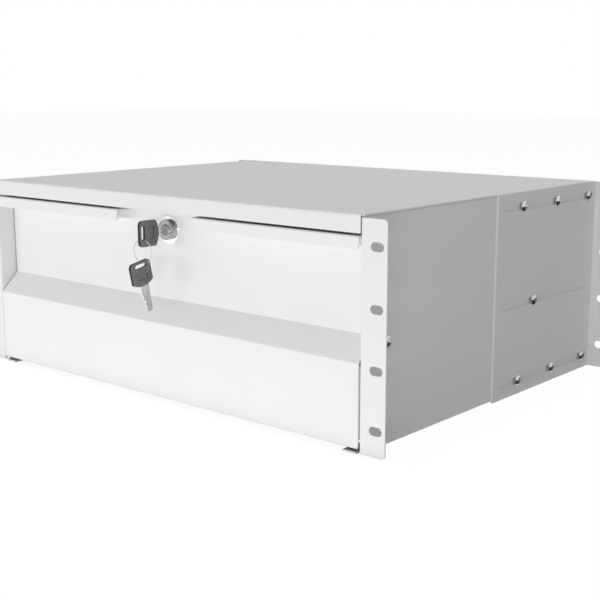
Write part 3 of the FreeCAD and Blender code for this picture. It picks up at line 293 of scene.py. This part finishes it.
def new_piece(name, mesh, slot):
    """Closes a drawn mesh into a piece with its finish and smooth rounds."""
    bmesh.ops.remove_doubles(mesh, verts=mesh.verts, dist=0.0005 * MM)
    bmesh.ops.recalc_face_normals(mesh, faces=mesh.faces)
    data = bpy.data.meshes.new(name)
    mesh.to_mesh(data)
    mesh.free()
    data.materials.append(finishes[slot])
    return smoothed(bpy.data.objects.new(name, data))


def smoothed(piece):
    """Smooth shading with crisp edges, in the scene."""
    data = piece.data
    data.polygons.foreach_set("use_smooth", [True] * len(data.polygons))
    data.set_sharp_from_angle(angle=SHARP_ANGLE)
    if piece.name not in bpy.context.scene.collection.objects:
        bpy.context.scene.collection.objects.link(piece)
    return piece


def finished(piece):
    """Takes in a piece's modifiers and leaves a plain mesh."""
    mesh = bpy.data.meshes.new_from_object(
        piece.evaluated_get(bpy.context.evaluated_depsgraph_get()))
    piece.modifiers.clear()
    piece.data = mesh
    return smoothed(piece)


def shown(piece, body, slot, *nodes):
    """Puts a piece on its body in place of the nodes it draws."""
    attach(piece, body)
    if nodes:
        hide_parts(*nodes)
    return piece


def turned(mesh, profile, sides, axis):
    """A closed profile of (radius, Y) turned about an axis along Y."""
    rings = []
    for step in range(sides):
        angle = 2 * math.pi * step / sides
        across = Vector((math.cos(angle), 0, math.sin(angle)))
        rings.append([mesh.verts.new(Vector((axis.x, 0, axis.z)) + across * radius + Vector((0, y, 0)))
                      for radius, y in profile])
    for step in range(sides):
        ring, following = rings[step], rings[(step + 1) % sides]
        for index in range(len(profile)):
            after = (index + 1) % len(profile)
            mesh.faces.new((ring[index], ring[after], following[after], following[index]))


def arc(centre, radius, start, end, steps):
    """Points of a round corner, in degrees."""
    points = []
    for step in range(steps + 1):
        angle = math.radians(start + (end - start) * step / steps)
        points.append((centre[0] + radius * math.cos(angle), centre[1] + radius * math.sin(angle)))
    return points


def plate_mesh(mesh, outlines, half):
    """A plate of (Y, Z) outlines, its first outline outside and the others holes, X from -half to half."""
    edges = []
    rims = []
    for outline in outlines:
        rim = [mesh.verts.new((half, y, z)) for y, z in outline]
        rims.append(rim)
        edges += [mesh.edges.new((rim[index], rim[(index + 1) % len(rim)])) for index in range(len(rim))]
    near = bmesh.ops.triangle_fill(mesh, edges=edges, use_beauty=True)["geom"]
    faces = [item for item in near if isinstance(item, bmesh.types.BMFace)]
    copy = bmesh.ops.duplicate(mesh, geom=faces)
    twins = copy["vert_map"]
    for rim in rims:
        for index, vertex in enumerate(rim):
            following = rim[(index + 1) % len(rim)]
            mesh.faces.new((vertex, following, twins[following], twins[vertex]))
    for vertex in {twins[vertex] for rim in rims for vertex in rim}:
        vertex.co.x = -half


def beveled(piece, width, segments):
    """Rounds the sharp edges of a piece."""
    bevel = piece.modifiers.new("edges", "BEVEL")
    bevel.width = width
    bevel.segments = segments
    bevel.limit_method = "ANGLE"
    bevel.angle_limit = BEVEL_ANGLE
    return finished(piece)


# Repeated pieces, made by node trees.

def new_tree(name, inputs):
    """A geometry tree with named inputs, its own geometry first."""
    nodes = bpy.data.node_groups.new(name, "GeometryNodeTree")
    nodes.interface.new_socket("Places", in_out="INPUT", socket_type="NodeSocketGeometry")
    for label, kind in inputs:
        nodes.interface.new_socket(label, in_out="INPUT", socket_type=kind)
    nodes.interface.new_socket("Pieces", in_out="OUTPUT", socket_type="NodeSocketGeometry")
    tree = Tree(nodes)
    entry = nodes.nodes.new("NodeGroupInput")
    return tree, {socket.name: Value(tree, socket) for socket in entry.outputs if socket.name}


def close_tree(tree, pieces, metal):
    """Ends a tree in plain meshes with their finish."""
    real = tree.add("GeometryNodeRealizeInstances", inputs={0: pieces})
    dressed = tree.add("GeometryNodeSetMaterial", inputs={"Geometry": real, "Material": metal})
    tree.add("NodeGroupOutput", inputs={0: dressed})
    return tree.nodes


def repeated(name, tree, places, values):
    """Runs a tree on a list of places and keeps its result as one plain mesh."""
    data = bpy.data.meshes.new(name)
    data.from_pydata([tuple(place) for place in places], [], [])
    piece = bpy.data.objects.new(name, data)
    bpy.context.scene.collection.objects.link(piece)
    modifier = piece.modifiers.new("repeat", "NODES")
    modifier.node_group = tree
    for item in tree.interface.items_tree:
        if item.in_out == "INPUT" and item.name in values:
            modifier[item.identifier] = values[item.name]
    return finished(piece)


FLOAT = "NodeSocketFloat"


def pan_screw_tree():
    """Pan-head screws with a cross recess, seated at each place and facing one way."""
    tree, given = new_tree("pan_head_screws", [
        ("Head Radius", FLOAT), ("Head Height", FLOAT), ("Shank Radius", FLOAT), ("Shank Length", FLOAT),
        ("Recess Reach", FLOAT), ("Recess Width", FLOAT), ("Recess Depth", FLOAT),
        ("Facing", "NodeSocketVector"), ("Seed", "NodeSocketInt"), ("Metal", "NodeSocketMaterial")])
    radius, height = given["Head Radius"], given["Head Height"]
    blank = tree.add("GeometryNodeMeshCylinder", {"fill_type": "TRIANGLE_FAN"}, {
        "Vertices": 40, "Side Segments": 4, "Fill Segments": 7, "Radius": radius, "Depth": height})
    parts = tree.nodes.nodes.new("ShaderNodeSeparateXYZ")
    tree.nodes.links.new(tree.add("GeometryNodeInputPosition").socket, parts.inputs[0])
    x, y, z = [Value(tree, socket) for socket in parts.outputs]
    out = ((x * x + y * y) ** 0.5) / radius
    rise = z / height + 0.5
    domed = rise * height * (1 - 0.62 * out ** 2.6)
    shape = tree.add("ShaderNodeCombineXYZ", inputs={0: x, 1: y, 2: domed})
    head = tree.add("GeometryNodeSetPosition", inputs={"Geometry": blank, "Position": shape})
    reach, width, depth = given["Recess Reach"] * 2, given["Recess Width"], given["Recess Depth"] * 2
    top = tree.add("ShaderNodeCombineXYZ", inputs={2: height})
    arms = []
    for sides in ((reach, width, depth), (width, reach, depth), (width * 1.7, width * 1.7, depth * 1.4)):
        arm = tree.add("GeometryNodeMeshCube", inputs={
            "Size": tree.add("ShaderNodeCombineXYZ", inputs=dict(enumerate(sides)))})
        arms.append(tree.add("GeometryNodeTransform", inputs={"Geometry": arm, "Translation": top}))
    recessed = tree.add("GeometryNodeMeshBoolean", {"operation": "DIFFERENCE", "solver": "EXACT"}, {
        "Mesh 1": head, "Mesh 2": arms})
    rod = tree.add("GeometryNodeMeshCylinder", {"fill_type": "TRIANGLE_FAN"}, {
        "Vertices": 20, "Radius": given["Shank Radius"], "Depth": given["Shank Length"]})
    below = tree.add("ShaderNodeCombineXYZ", inputs={2: given["Shank Length"] * -0.5})
    shank = tree.add("GeometryNodeTransform", inputs={"Geometry": rod, "Translation": below})
    screw = tree.add("GeometryNodeJoinGeometry", inputs={0: [recessed, shank]})
    facing = tree.add("FunctionNodeAlignRotationToVector", {"axis": "Z"}, {"Vector": given["Facing"]})
    placed = tree.add("GeometryNodeInstanceOnPoints", inputs={
        "Points": given["Places"], "Instance": screw, "Rotation": facing})
    spin = tree.add("FunctionNodeRandomValue", {"data_type": "FLOAT"}, {
        "Min": 0.0, "Max": math.tau, "Seed": given["Seed"]}, output=1)
    turn = tree.add("ShaderNodeCombineXYZ", inputs={2: spin})
    driven = tree.add("GeometryNodeRotateInstances", inputs={
        "Instances": placed, "Rotation": turn, "Local Space": True})
    return close_tree(tree, driven, given["Metal"])


def ball_tree():
    """Round balls at each place."""
    tree, given = new_tree("slide_balls", [("Radius", FLOAT), ("Metal", "NodeSocketMaterial")])
    ball = tree.add("GeometryNodeMeshUVSphere", inputs={
        "Segments": 28, "Rings": 16, "Radius": given["Radius"]})
    placed = tree.add("GeometryNodeInstanceOnPoints", inputs={"Points": given["Places"], "Instance": ball})
    return close_tree(tree, placed, given["Metal"])


def nut_tree():
    """Nuts with chamfered corners and a bore, seated at each place and facing one way."""
    tree, given = new_tree("chamfered_nuts", [
        ("Corner Radius", FLOAT), ("Height", FLOAT), ("Bore Radius", FLOAT), ("Sides", "NodeSocketInt"),
        ("Facing", "NodeSocketVector"), ("Metal", "NodeSocketMaterial")])
    corner, height = given["Corner Radius"], given["Height"]
    block = tree.add("GeometryNodeMeshCylinder", {"fill_type": "TRIANGLE_FAN"}, {
        "Vertices": given["Sides"], "Radius": corner, "Depth": height})
    turned_blank = tree.add("GeometryNodeMeshCone", {"fill_type": "TRIANGLE_FAN"}, {
        "Vertices": 48, "Side Segments": 1, "Radius Top": corner * 0.86, "Radius Bottom": corner * 1.05,
        "Depth": height})
    low = tree.add("ShaderNodeCombineXYZ", inputs={2: height * -0.5})
    cone = tree.add("GeometryNodeTransform", inputs={"Geometry": turned_blank, "Translation": low})
    chamfered = tree.add("GeometryNodeMeshBoolean", {"operation": "INTERSECT", "solver": "EXACT"}, {
        "Mesh 2": [block, cone]})
    drill = tree.add("GeometryNodeMeshCylinder", {"fill_type": "TRIANGLE_FAN"}, {
        "Vertices": 24, "Radius": given["Bore Radius"], "Depth": height * 2})
    bored = tree.add("GeometryNodeMeshBoolean", {"operation": "DIFFERENCE", "solver": "EXACT"}, {
        "Mesh 1": chamfered, "Mesh 2": drill})
    lift = tree.add("ShaderNodeCombineXYZ", inputs={2: height * 0.5})
    nut = tree.add("GeometryNodeTransform", inputs={"Geometry": bored, "Translation": lift})
    facing = tree.add("FunctionNodeAlignRotationToVector", {"axis": "Z"}, {"Vector": given["Facing"]})
    placed = tree.add("GeometryNodeInstanceOnPoints", inputs={
        "Points": given["Places"], "Instance": nut, "Rotation": facing})
    return close_tree(tree, placed, given["Metal"])


pan_head_screws = pan_screw_tree()
slide_balls = ball_tree()
chamfered_nuts = nut_tree()
# Screw heads: radius and height.
LARGE_HEAD = (4.5 * MM, 2.6 * MM)
SMALL_HEAD = (3.4 * MM, 1.9 * MM)
CAM_HEAD = (4.4 * MM, 1.9 * MM)
# Screw heads stand this little off the sheet under them.
SEAT_GAP = 0.03 * MM
PRESS_NUT_BORE = 2.55 * MM
PRESS_NUT_SIDES = 24
STUD_NUT_BORE = 2.05 * MM
STUD_NUT_SIDES = 6
BALL_RADIUS = 2.0 * MM


def fit_screws(body, node, facing, head, seed):
    """Draws the screws of a node, their heads at the end that they face."""
    facing = Vector(facing)
    radius, height = head[0], head[1] - SEAT_GAP
    axis = max(range(3), key=lambda index: abs(facing[index]))
    seats = []
    for low, high in solids(node):
        seat = (low + high) / 2
        end = high if facing[axis] > 0 else low
        seat[axis] = end[axis] - facing[axis] * height
        length = high[axis] - low[axis] - height
        seats.append(seat)
    values = {"Head Radius": radius, "Head Height": height, "Shank Radius": radius * 0.5,
              "Shank Length": length, "Recess Reach": radius * 0.62, "Recess Width": radius * 0.28,
              "Recess Depth": height * 0.55, "Facing": facing, "Seed": seed,
              "Metal": finishes["screw_nickel"]}
    piece = repeated(node + "_drawn", pan_head_screws, seats, values)
    return shown(piece, body, "screw_nickel", node)


for number, (side, sign) in enumerate((("left", -1), ("right", 1))):
    outward = (sign, 0, 0)
    fit_screws("casing", "bracket_screws_" + side, outward, LARGE_HEAD, 4 + number)
    fit_screws("casing", "slide_screws_" + side, outward, LARGE_HEAD, 7 + number)
    fit_screws("drawer", "rail_screws_" + side, (-sign, 0, 0), SMALL_HEAD, 11 + number)
fit_screws("casing", "rear_panel_screws", (0, 1, 0), SMALL_HEAD, 15)
fit_screws("lock_core", "lock_cam_screw", (0, 1, 0), CAM_HEAD, 17)


def fit_nuts(body, node, facing, bore_radius, sides):
    """Draws the nuts of a node, standing on the sheet that they face away from."""
    facing = Vector(facing)
    axis = max(range(3), key=lambda index: abs(facing[index]))
    across = (axis + 1) % 3
    seats = []
    for low, high in solids(node):
        seat = (low + high) / 2
        seat[axis] = (low if facing[axis] > 0 else high)[axis]
        corner = max(high[index] - low[index] for index in range(3) if index != axis) / 2
        height = high[axis] - low[axis]
        seats.append(seat)
    values = {"Corner Radius": corner, "Height": height, "Bore Radius": bore_radius, "Sides": sides,
              "Facing": facing, "Metal": finishes["nut_zinc"]}
    return shown(repeated(node + "_drawn", chamfered_nuts, seats, values), body, "nut_zinc", node)


for side, sign in (("left", -1), ("right", 1)):
    fit_nuts("casing", "bracket_nuts_" + side, (-sign, 0, 0), PRESS_NUT_BORE, PRESS_NUT_SIDES)
fit_nuts("drawer", "stud_nuts", (0, 1, 0), STUD_NUT_BORE, STUD_NUT_SIDES)

for place in ("outer", "inner"):
    for side in ("left", "right"):
        node = "slide_%s_balls_%s" % (place, side)
        centres = [(low + high) / 2 for low, high in solids(node)]
        drawn = repeated(node + "_drawn", slide_balls, centres,
                         {"Radius": BALL_RADIUS, "Metal": finishes["ball_steel"]})
        shown(drawn, "%s_cage_%s" % (place, side), "ball_steel", node)


# Lock.

BORE = 4.65 * MM
BARREL_INSET = 0.75 * MM
THREAD_STEP = 0.5
THREAD_START = 1.2
THREAD_DEPTH = 0.35 * MM
TRIM_BORE = 8.05 * MM
TRIM_CORNER = 0.45 * MM
HEAD_SIDES = 96
PLUG_SIDES = 64
PLUG_SQUARE_HALF = 3.0 * MM
PLUG_CENTRE = 0.02 * MM
PLUG_BEVEL = 0.3 * MM
KEYWAY_HALF_WIDTH = 0.95 * MM
KEYWAY_HALF_HEIGHT = 3.95 * MM


def lock_profile():
    """Outline of the lock's head and barrel, as (radius, Y)."""
    low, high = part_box("lock_housing")
    face, rear = low[1], high[1]
    ring_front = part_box("lock_ring")[0][1]
    head = (high[0] - low[0]) / 2
    barrel = head - BARREL_INSET
    thread = [(barrel - (THREAD_DEPTH if step % 2 else 0),
               ring_front + (THREAD_START + THREAD_STEP * step) * MM)
              for step in range(int((rear - ring_front) / (THREAD_STEP * MM)) - 3)]
    return [(BORE, face + 0.3 * MM), (BORE + 0.25 * MM, face + 0.12 * MM), (7.0 * MM, face + 0.12 * MM),
            (7.15 * MM, face + 0.4 * MM), (7.75 * MM, face + 0.4 * MM), (7.9 * MM, face),
            (head - 0.25 * MM, face), (head, face + 0.25 * MM), (head, ring_front), (barrel, ring_front)
            ] + thread + [(barrel - 0.5 * MM, rear), (BORE, rear)]


mesh = bmesh.new()
turned(mesh, lock_profile(), HEAD_SIDES, lock_axis)
shown(new_piece("lock_head_drawn", mesh, "lock_chrome"), "drawer", "lock_chrome", "lock_housing")


def trim_profile():
    """Outline of the trim ring with its rounded front edge."""
    low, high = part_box("lock_ring")
    front, rear = low[1], high[1]
    outer = (high[0] - low[0]) / 2
    inner = TRIM_BORE
    corner = TRIM_CORNER
    rounded = [(outer - corner + corner * math.sin(math.radians(step * 15)),
                front + corner - corner * math.cos(math.radians(step * 15))) for step in range(7)]
    return [(inner, front), (inner + 0.8 * MM, front)] + rounded + [(outer, rear), (inner, rear)]


mesh = bmesh.new()
turned(mesh, trim_profile(), HEAD_SIDES, lock_axis)
shown(new_piece("lock_trim_drawn", mesh, "lock_trim"), "drawer", "lock_chrome", "lock_ring")


def block(mesh, low, high):
    """A box between two corners."""
    made = bmesh.ops.create_cube(mesh, size=1.0)["verts"]
    low, high = Vector(low), Vector(high)
    for vertex in made:
        vertex.co = Vector([(low[axis] + high[axis]) / 2 + vertex.co[axis] * (high[axis] - low[axis])
                            for axis in range(3)])


def carved(piece, cutter_mesh):
    """Cuts one closed mesh out of a piece."""
    data = bpy.data.meshes.new("cutter")
    bmesh.ops.recalc_face_normals(cutter_mesh, faces=cutter_mesh.faces)
    cutter_mesh.to_mesh(data)
    cutter_mesh.free()
    cutter = bpy.data.objects.new("cutter", data)
    bpy.context.scene.collection.objects.link(cutter)
    boolean = piece.modifiers.new("cut", "BOOLEAN")
    boolean.operation = "DIFFERENCE"
    boolean.solver = "EXACT"
    boolean.object = cutter
    finished(piece)
    bpy.data.objects.remove(cutter)
    return piece


def lock_plug():
    """Turning plug with its keyway, and the square that carries the cam."""
    low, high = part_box("lock_plug")
    front, rear = low[1], high[1]
    radius = (high[0] - low[0]) / 2
    barrel_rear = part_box("lock_housing")[1][1]
    mesh = bmesh.new()
    profile = [(PLUG_CENTRE, front), (radius - PLUG_BEVEL, front), (radius, front + PLUG_BEVEL),
               (radius, barrel_rear), (PLUG_CENTRE, barrel_rear)]
    turned(mesh, profile, PLUG_SIDES, lock_axis)
    half = PLUG_SQUARE_HALF
    block(mesh, (lock_axis.x - half, barrel_rear - 0.5 * MM, lock_axis.z - half),
          (lock_axis.x + half, rear, lock_axis.z + half))
    plug = new_piece("lock_plug_drawn", mesh, "lock_chrome")
    keyway = bmesh.new()
    block(keyway, (lock_axis.x - KEYWAY_HALF_WIDTH, front - MM, lock_axis.z - KEYWAY_HALF_HEIGHT),
          (lock_axis.x + KEYWAY_HALF_WIDTH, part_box("key_blade")[1][1] + 0.3 * MM,
           lock_axis.z + KEYWAY_HALF_HEIGHT))
    return carved(plug, keyway)


shown(lock_plug(), "lock_core", "lock_chrome", "lock_plug")


# Keys, drawn along Y with the bow's edge that faces the lock at Y = 0.

BOW_LENGTH = 21.0 * MM
BOW_HALF = 10.8 * MM
BOW_DROP = 1.0 * MM
BOW_HALF_THICKNESS = 1.15 * MM
BOW_CORNER = 3.5 * MM
BOW_BULGE = 3.3 * MM
FIELD_DROP = 0.4 * MM
SLOT_MIDDLE = -17.15 * MM
SLOT_RADIUS = 1.75 * MM
SLOT_REACH = 4.45 * MM
FIELD_NEAR = -12.4 * MM
FIELD_FAR = -3.2 * MM
FIELD_HALF = 8.1 * MM
FIELD_DEPTH = 0.3 * MM
WINDOW_NEAR = -9.5 * MM
WINDOW_FAR = -5.2 * MM
WINDOW_HALF = 5.5 * MM
WINDOW_DEPTH = 0.65 * MM
FIELD_CORNER = 1.2 * MM
WINDOW_CORNER = 0.5 * MM
OVERLAP = 0.25 * MM
BLADE_HALF = 3.8 * MM
BLADE_ROOT = -0.3 * MM
BLADE_THICKNESS = 1.6 * MM
BLADE_LENGTH = 23.0 * MM
BLADE_STOP = 7.7 * MM
SHOULDER_HALF = 4.35 * MM
GROOVE_INNER = 0.5 * MM
GROOVE_OUTER = 1.5 * MM
GROOVE_LOW = -0.9 * MM
GROOVE_HIGH = 0.5 * MM
# Cuts of the blade: share of its length and share of its half width.
BITTING = [(0.95, 0.35), (0.80, 0.10), (0.66, 0.42), (0.50, 0.18), (0.36, 0.50), (0.22, 0.0)]


def rounded_box(low, high, radius, steps):
    """Corner points of a rounded rectangle, as (Y, Z)."""
    corners = (((high[0] - radius, high[1] - radius), 0), ((low[0] + radius, high[1] - radius), 90),
               ((low[0] + radius, low[1] + radius), 180), ((high[0] - radius, low[1] + radius), 270))
    points = []
    for centre, start in corners:
        points += arc(centre, radius, start, start + 90, steps)
    return points


def bow_outline():
    """The bow's outer edge: round corners behind, and a bulge towards the blade."""
    chord = BOW_HALF
    bulge_radius = (chord ** 2 + BOW_BULGE ** 2) / (2 * BOW_BULGE)
    spread = math.degrees(math.asin(chord / bulge_radius))
    top = BOW_HALF - BOW_DROP
    bottom = -BOW_HALF - BOW_DROP
    rear = -BOW_LENGTH
    points = arc((-bulge_radius, -BOW_DROP), bulge_radius, -spread, spread, 24)
    points += arc((rear + BOW_CORNER, top - BOW_CORNER), BOW_CORNER, 90, 180, 8)
    points += arc((rear + BOW_CORNER, bottom + BOW_CORNER), BOW_CORNER, 180, 270, 8)
    return points


def slot_outline():
    """The slot for the ring."""
    upper = arc((SLOT_MIDDLE, SLOT_REACH - FIELD_DROP), SLOT_RADIUS, 0, 180, 12)
    return upper + arc((SLOT_MIDDLE, -SLOT_REACH - FIELD_DROP), SLOT_RADIUS, 180, 360, 12)


def bow_mesh(mesh):
    """The bow with its ring slot, and its thinner field inside a raised rim."""
    field = rounded_box((FIELD_NEAR, -FIELD_HALF - FIELD_DROP), (FIELD_FAR, FIELD_HALF - FIELD_DROP),
                        FIELD_CORNER, 5)
    plate_mesh(mesh, [bow_outline(), slot_outline(), field], BOW_HALF_THICKNESS)
    margin = OVERLAP
    web = rounded_box((FIELD_NEAR - margin, -FIELD_HALF - FIELD_DROP - margin),
                      (FIELD_FAR + margin, FIELD_HALF - FIELD_DROP + margin), FIELD_CORNER, 5)
    window = rounded_box((WINDOW_NEAR, -WINDOW_HALF - FIELD_DROP), (WINDOW_FAR, WINDOW_HALF - FIELD_DROP),
                         WINDOW_CORNER, 3)
    plate_mesh(mesh, [web, window], BOW_HALF_THICKNESS - FIELD_DEPTH)
    pane = rounded_box((WINDOW_NEAR - margin, -WINDOW_HALF - FIELD_DROP - margin),
                       (WINDOW_FAR + margin, WINDOW_HALF - FIELD_DROP + margin), WINDOW_CORNER, 3)
    plate_mesh(mesh, [pane], BOW_HALF_THICKNESS - FIELD_DEPTH - WINDOW_DEPTH)


def blade_mesh(mesh):
    """The cut blade from the bow to its tip."""
    bitted = [(BLADE_STOP + (BLADE_LENGTH - BLADE_STOP) * share, -BLADE_HALF + BLADE_HALF * depth)
              for share, depth in BITTING]
    outline = [(BLADE_ROOT, SHOULDER_HALF), (BLADE_STOP, SHOULDER_HALF), (BLADE_STOP, BLADE_HALF),
               (BLADE_LENGTH - BLADE_HALF / 2, BLADE_HALF), (BLADE_LENGTH, BLADE_HALF / 2),
               (BLADE_LENGTH, 0.0)]
    outline += bitted + [(BLADE_STOP, -BLADE_HALF), (BLADE_STOP, -SHOULDER_HALF),
                         (BLADE_ROOT, -SHOULDER_HALF)]
    plate_mesh(mesh, [outline], BLADE_THICKNESS / 2)


def set_key(mesh, place):
    """Carries a key's drawing to its place."""
    bmesh.ops.transform(mesh, matrix=place, verts=mesh.verts)


front_place = Matrix.Translation((lock_axis.x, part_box("key_bow")[1][1], lock_axis.z))
SPARE_TURN = math.radians(-78.0)


def spare_matrix():
    """The spare key's turn, shifted until its drawn bow fills the node's box."""
    turn = Matrix.Rotation(SPARE_TURN, 4, "X")
    spots = [turn @ Vector((0, y, z)) for y, z in bow_outline()]
    low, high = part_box("spare_key_bow")
    shift = Vector((lock_axis.x, low[1] - min(spot.y for spot in spots),
                    low[2] - min(spot.z for spot in spots)))
    return Matrix.Translation(shift) @ turn


for body, prefix, place in (("key", "key", front_place), ("spare_key", "spare_key", spare_matrix())):
    mesh = bmesh.new()
    bow_mesh(mesh)
    set_key(mesh, place)
    bow = beveled(new_piece(prefix + "_bow_drawn", mesh, "key_cap"), 0.35 * MM, 3)
    shown(bow, body, "key_cap", prefix + "_bow")
    mesh = bmesh.new()
    blade_mesh(mesh)
    set_key(mesh, place)
    blade = new_piece(prefix + "_blade_drawn", mesh, "key_steel")
    for side in (-1, 1):
        groove = bmesh.new()
        block(groove, (side * GROOVE_INNER, -MM, GROOVE_LOW),
              (side * GROOVE_OUTER, BLADE_LENGTH + MM, GROOVE_HIGH))
        set_key(groove, place)
        carved(blade, groove)
    shown(beveled(blade, 0.12 * MM, 2), body, "key_steel", prefix + "_blade")


# Split ring: two turns of wire side by side.

RING_WIRE = 0.29 * MM
RING_STEP = 0.4 * MM
RING_INSET = 0.48 * MM
RING_STEPS = 160
RING_TURN = math.radians(6.0)


def split_ring():
    """Two close turns of round wire."""
    low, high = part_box("key_ring")
    centre = (Vector(low) + Vector(high)) / 2
    radius = (high[2] - low[2]) / 2 - RING_INSET
    curve = bpy.data.curves.new("ring_line", "CURVE")
    curve.dimensions = "3D"
    curve.bevel_depth = RING_WIRE
    curve.bevel_resolution = 4
    curve.use_fill_caps = True
    spline = curve.splines.new("POLY")
    steps = RING_STEPS
    spline.points.add(steps)
    turn = Matrix.Rotation(RING_TURN, 4, "Z")
    for step in range(steps + 1):
        share = step / steps
        angle = 2 * math.tau * share
        spot = Vector((radius * math.cos(angle), RING_STEP * (share - 0.5), radius * math.sin(angle)))
        spline.points[step].co = (*(centre + turn @ spot), 1.0)
    line = bpy.data.objects.new("ring_line", curve)
    bpy.context.scene.collection.objects.link(line)
    data = bpy.data.meshes.new_from_object(line.evaluated_get(bpy.context.evaluated_depsgraph_get()))
    bpy.data.objects.remove(line)
    data.materials.clear()
    data.materials.append(finishes["ring_wire"])
    return smoothed(bpy.data.objects.new("split_ring_drawn", data))


shown(split_ring(), "ring", "ring_wire", "key_ring")


# Studio.

FLOOR_LEVEL = cad_box[0][2]
FLOOR_REACH = 8.0


def floor_material():
    """Pale floor that reads as white to the eye and keeps a faint shadow."""
    material, tree = new_material("studio_floor")
    path = tree.nodes.nodes.new("ShaderNodeLightPath")
    seen = Value(tree, path.outputs["Is Camera Ray"]) + Value(tree, path.outputs["Is Glossy Ray"])
    seen = (seen + Value(tree, path.outputs["Is Transmission Ray"])).at_most(1.0)
    pale = tree.add("ShaderNodeBsdfDiffuse", inputs={"Color": grey(0.8)})
    glow = tree.add("ShaderNodeEmission", inputs={"Color": grey(1.0), "Strength": 0.94})
    shade = tree.add("ShaderNodeBsdfDiffuse", inputs={"Color": grey(0.12)})
    white = tree.add("ShaderNodeAddShader", inputs={0: glow, 1: shade})
    mixed = tree.add("ShaderNodeMixShader", inputs={0: seen, 1: pale, 2: white})
    tree.add("ShaderNodeOutputMaterial", inputs={"Surface": mixed})
    return material


def studio_floor():
    """A wide floor at the part's lowest point."""
    mesh = bmesh.new()
    corners = [(-FLOOR_REACH, -FLOOR_REACH), (FLOOR_REACH, -FLOOR_REACH),
               (FLOOR_REACH, FLOOR_REACH), (-FLOOR_REACH, FLOOR_REACH)]
    mesh.faces.new([mesh.verts.new((x, y, FLOOR_LEVEL)) for x, y in corners])
    data = bpy.data.meshes.new("studio_floor")
    mesh.to_mesh(data)
    mesh.free()
    data.materials.append(floor_material())
    floor = bpy.data.objects.new("studio_floor", data)
    bpy.context.scene.collection.objects.link(floor)


# Even light from the surroundings.
AMBIENT = 0.3


def studio_world():
    """White to the eye and to gloss, and an even soft light on everything else."""
    world = bpy.data.worlds.new("studio")
    world.use_nodes = True
    world.node_tree.nodes.clear()
    bpy.context.scene.world = world
    tree = Tree(world.node_tree)
    path = tree.nodes.nodes.new("ShaderNodeLightPath")
    seen = Value(tree, path.outputs["Is Camera Ray"]) + Value(tree, path.outputs["Is Glossy Ray"])
    seen = (seen + Value(tree, path.outputs["Is Transmission Ray"])).at_most(1.0)
    strength = AMBIENT + seen * (1.0 - AMBIENT)
    sky = tree.add("ShaderNodeBackground", inputs={"Color": grey(1.0), "Strength": strength})
    tree.add("ShaderNodeOutputWorld", inputs={"Surface": sky})


# Each lamp: name, place, what it faces, width, height, power in watts.
LAMPS = [
    ("front_softbox", (0.2, -6.6, 0.0), (0.2, 0.1, 0.0), 10.2, 0.16, 221),
    ("floor_softbox", (-0.35, -0.406, FLOOR_LEVEL + 1 * MM), (-0.35, -0.406, 1.0), 2.5, 0.8, 2.9),
    ("top_softbox", (0.0, 0.1, 2.2), (0.0, 0.1, 0.0), 1.6, 1.6, 13.5),
]


def studio_lamp(name, place, target, width, height, power):
    """A soft panel of light that the camera doesn't see."""
    lamp = bpy.data.lights.new(name, "AREA")
    lamp.shape = "RECTANGLE"
    lamp.size = width
    lamp.size_y = height
    lamp.energy = power
    item = bpy.data.objects.new(name, lamp)
    item.location = place
    item.rotation_euler = (Vector(target) - item.location).to_track_quat("-Z", "Y").to_euler()
    item.visible_camera = False
    bpy.context.scene.collection.objects.link(item)


# Two corners of the dark card on the floor.
CARD = ((0.228, 0.02), (1.6, 1.9))


def dark_card():
    """A dark card beside the part, seen only in gloss, so that bright metal gets its contrast."""
    mesh = bmesh.new()
    (left, near), (right, far) = CARD
    corners = [(left, near), (right, near), (right, far), (left, far)]
    mesh.faces.new([mesh.verts.new((x, y, FLOOR_LEVEL + 1 * MM)) for x, y in corners])
    data = bpy.data.meshes.new("dark_card")
    mesh.to_mesh(data)
    mesh.free()
    material, tree = new_material("dark_card")
    surface(tree, {"Base Color": grey(0.02), "Roughness": 0.9})
    data.materials.append(material)
    card = bpy.data.objects.new("dark_card", data)
    bpy.context.scene.collection.objects.link(card)
    card.visible_camera = False
    card.visible_diffuse = False
    card.visible_shadow = False


# The camera stands to the right of the drawer's front and looks a little down.
CAMERA_PLACE = (0.68955, -0.6120, 0.17861)
CAMERA_YAW = 40.77
CAMERA_DOWN = 11.07
CAMERA_ROLL = -0.05
CAMERA_LENS = 66.71


def studio_camera():
    """The camera that sees the part as the photograph does."""
    data = bpy.data.cameras.new("camera")
    data.lens = CAMERA_LENS
    data.sensor_width = 36.0
    data.sensor_fit = "HORIZONTAL"
    data.clip_start = 0.01
    camera = bpy.data.objects.new("camera", data)
    turn = (Matrix.Rotation(math.radians(CAMERA_YAW), 4, "Z")
            @ Matrix.Rotation(math.radians(90 - CAMERA_DOWN), 4, "X")
            @ Matrix.Rotation(math.radians(CAMERA_ROLL), 4, "Z"))
    camera.matrix_world = Matrix.Translation(CAMERA_PLACE) @ turn
    bpy.context.scene.collection.objects.link(camera)
    bpy.context.scene.camera = camera


studio_floor()
studio_world()
dark_card()
for lamp in LAMPS:
    studio_lamp(*lamp)
studio_camera()
bpy.context.scene.view_settings.view_transform = "Standard"
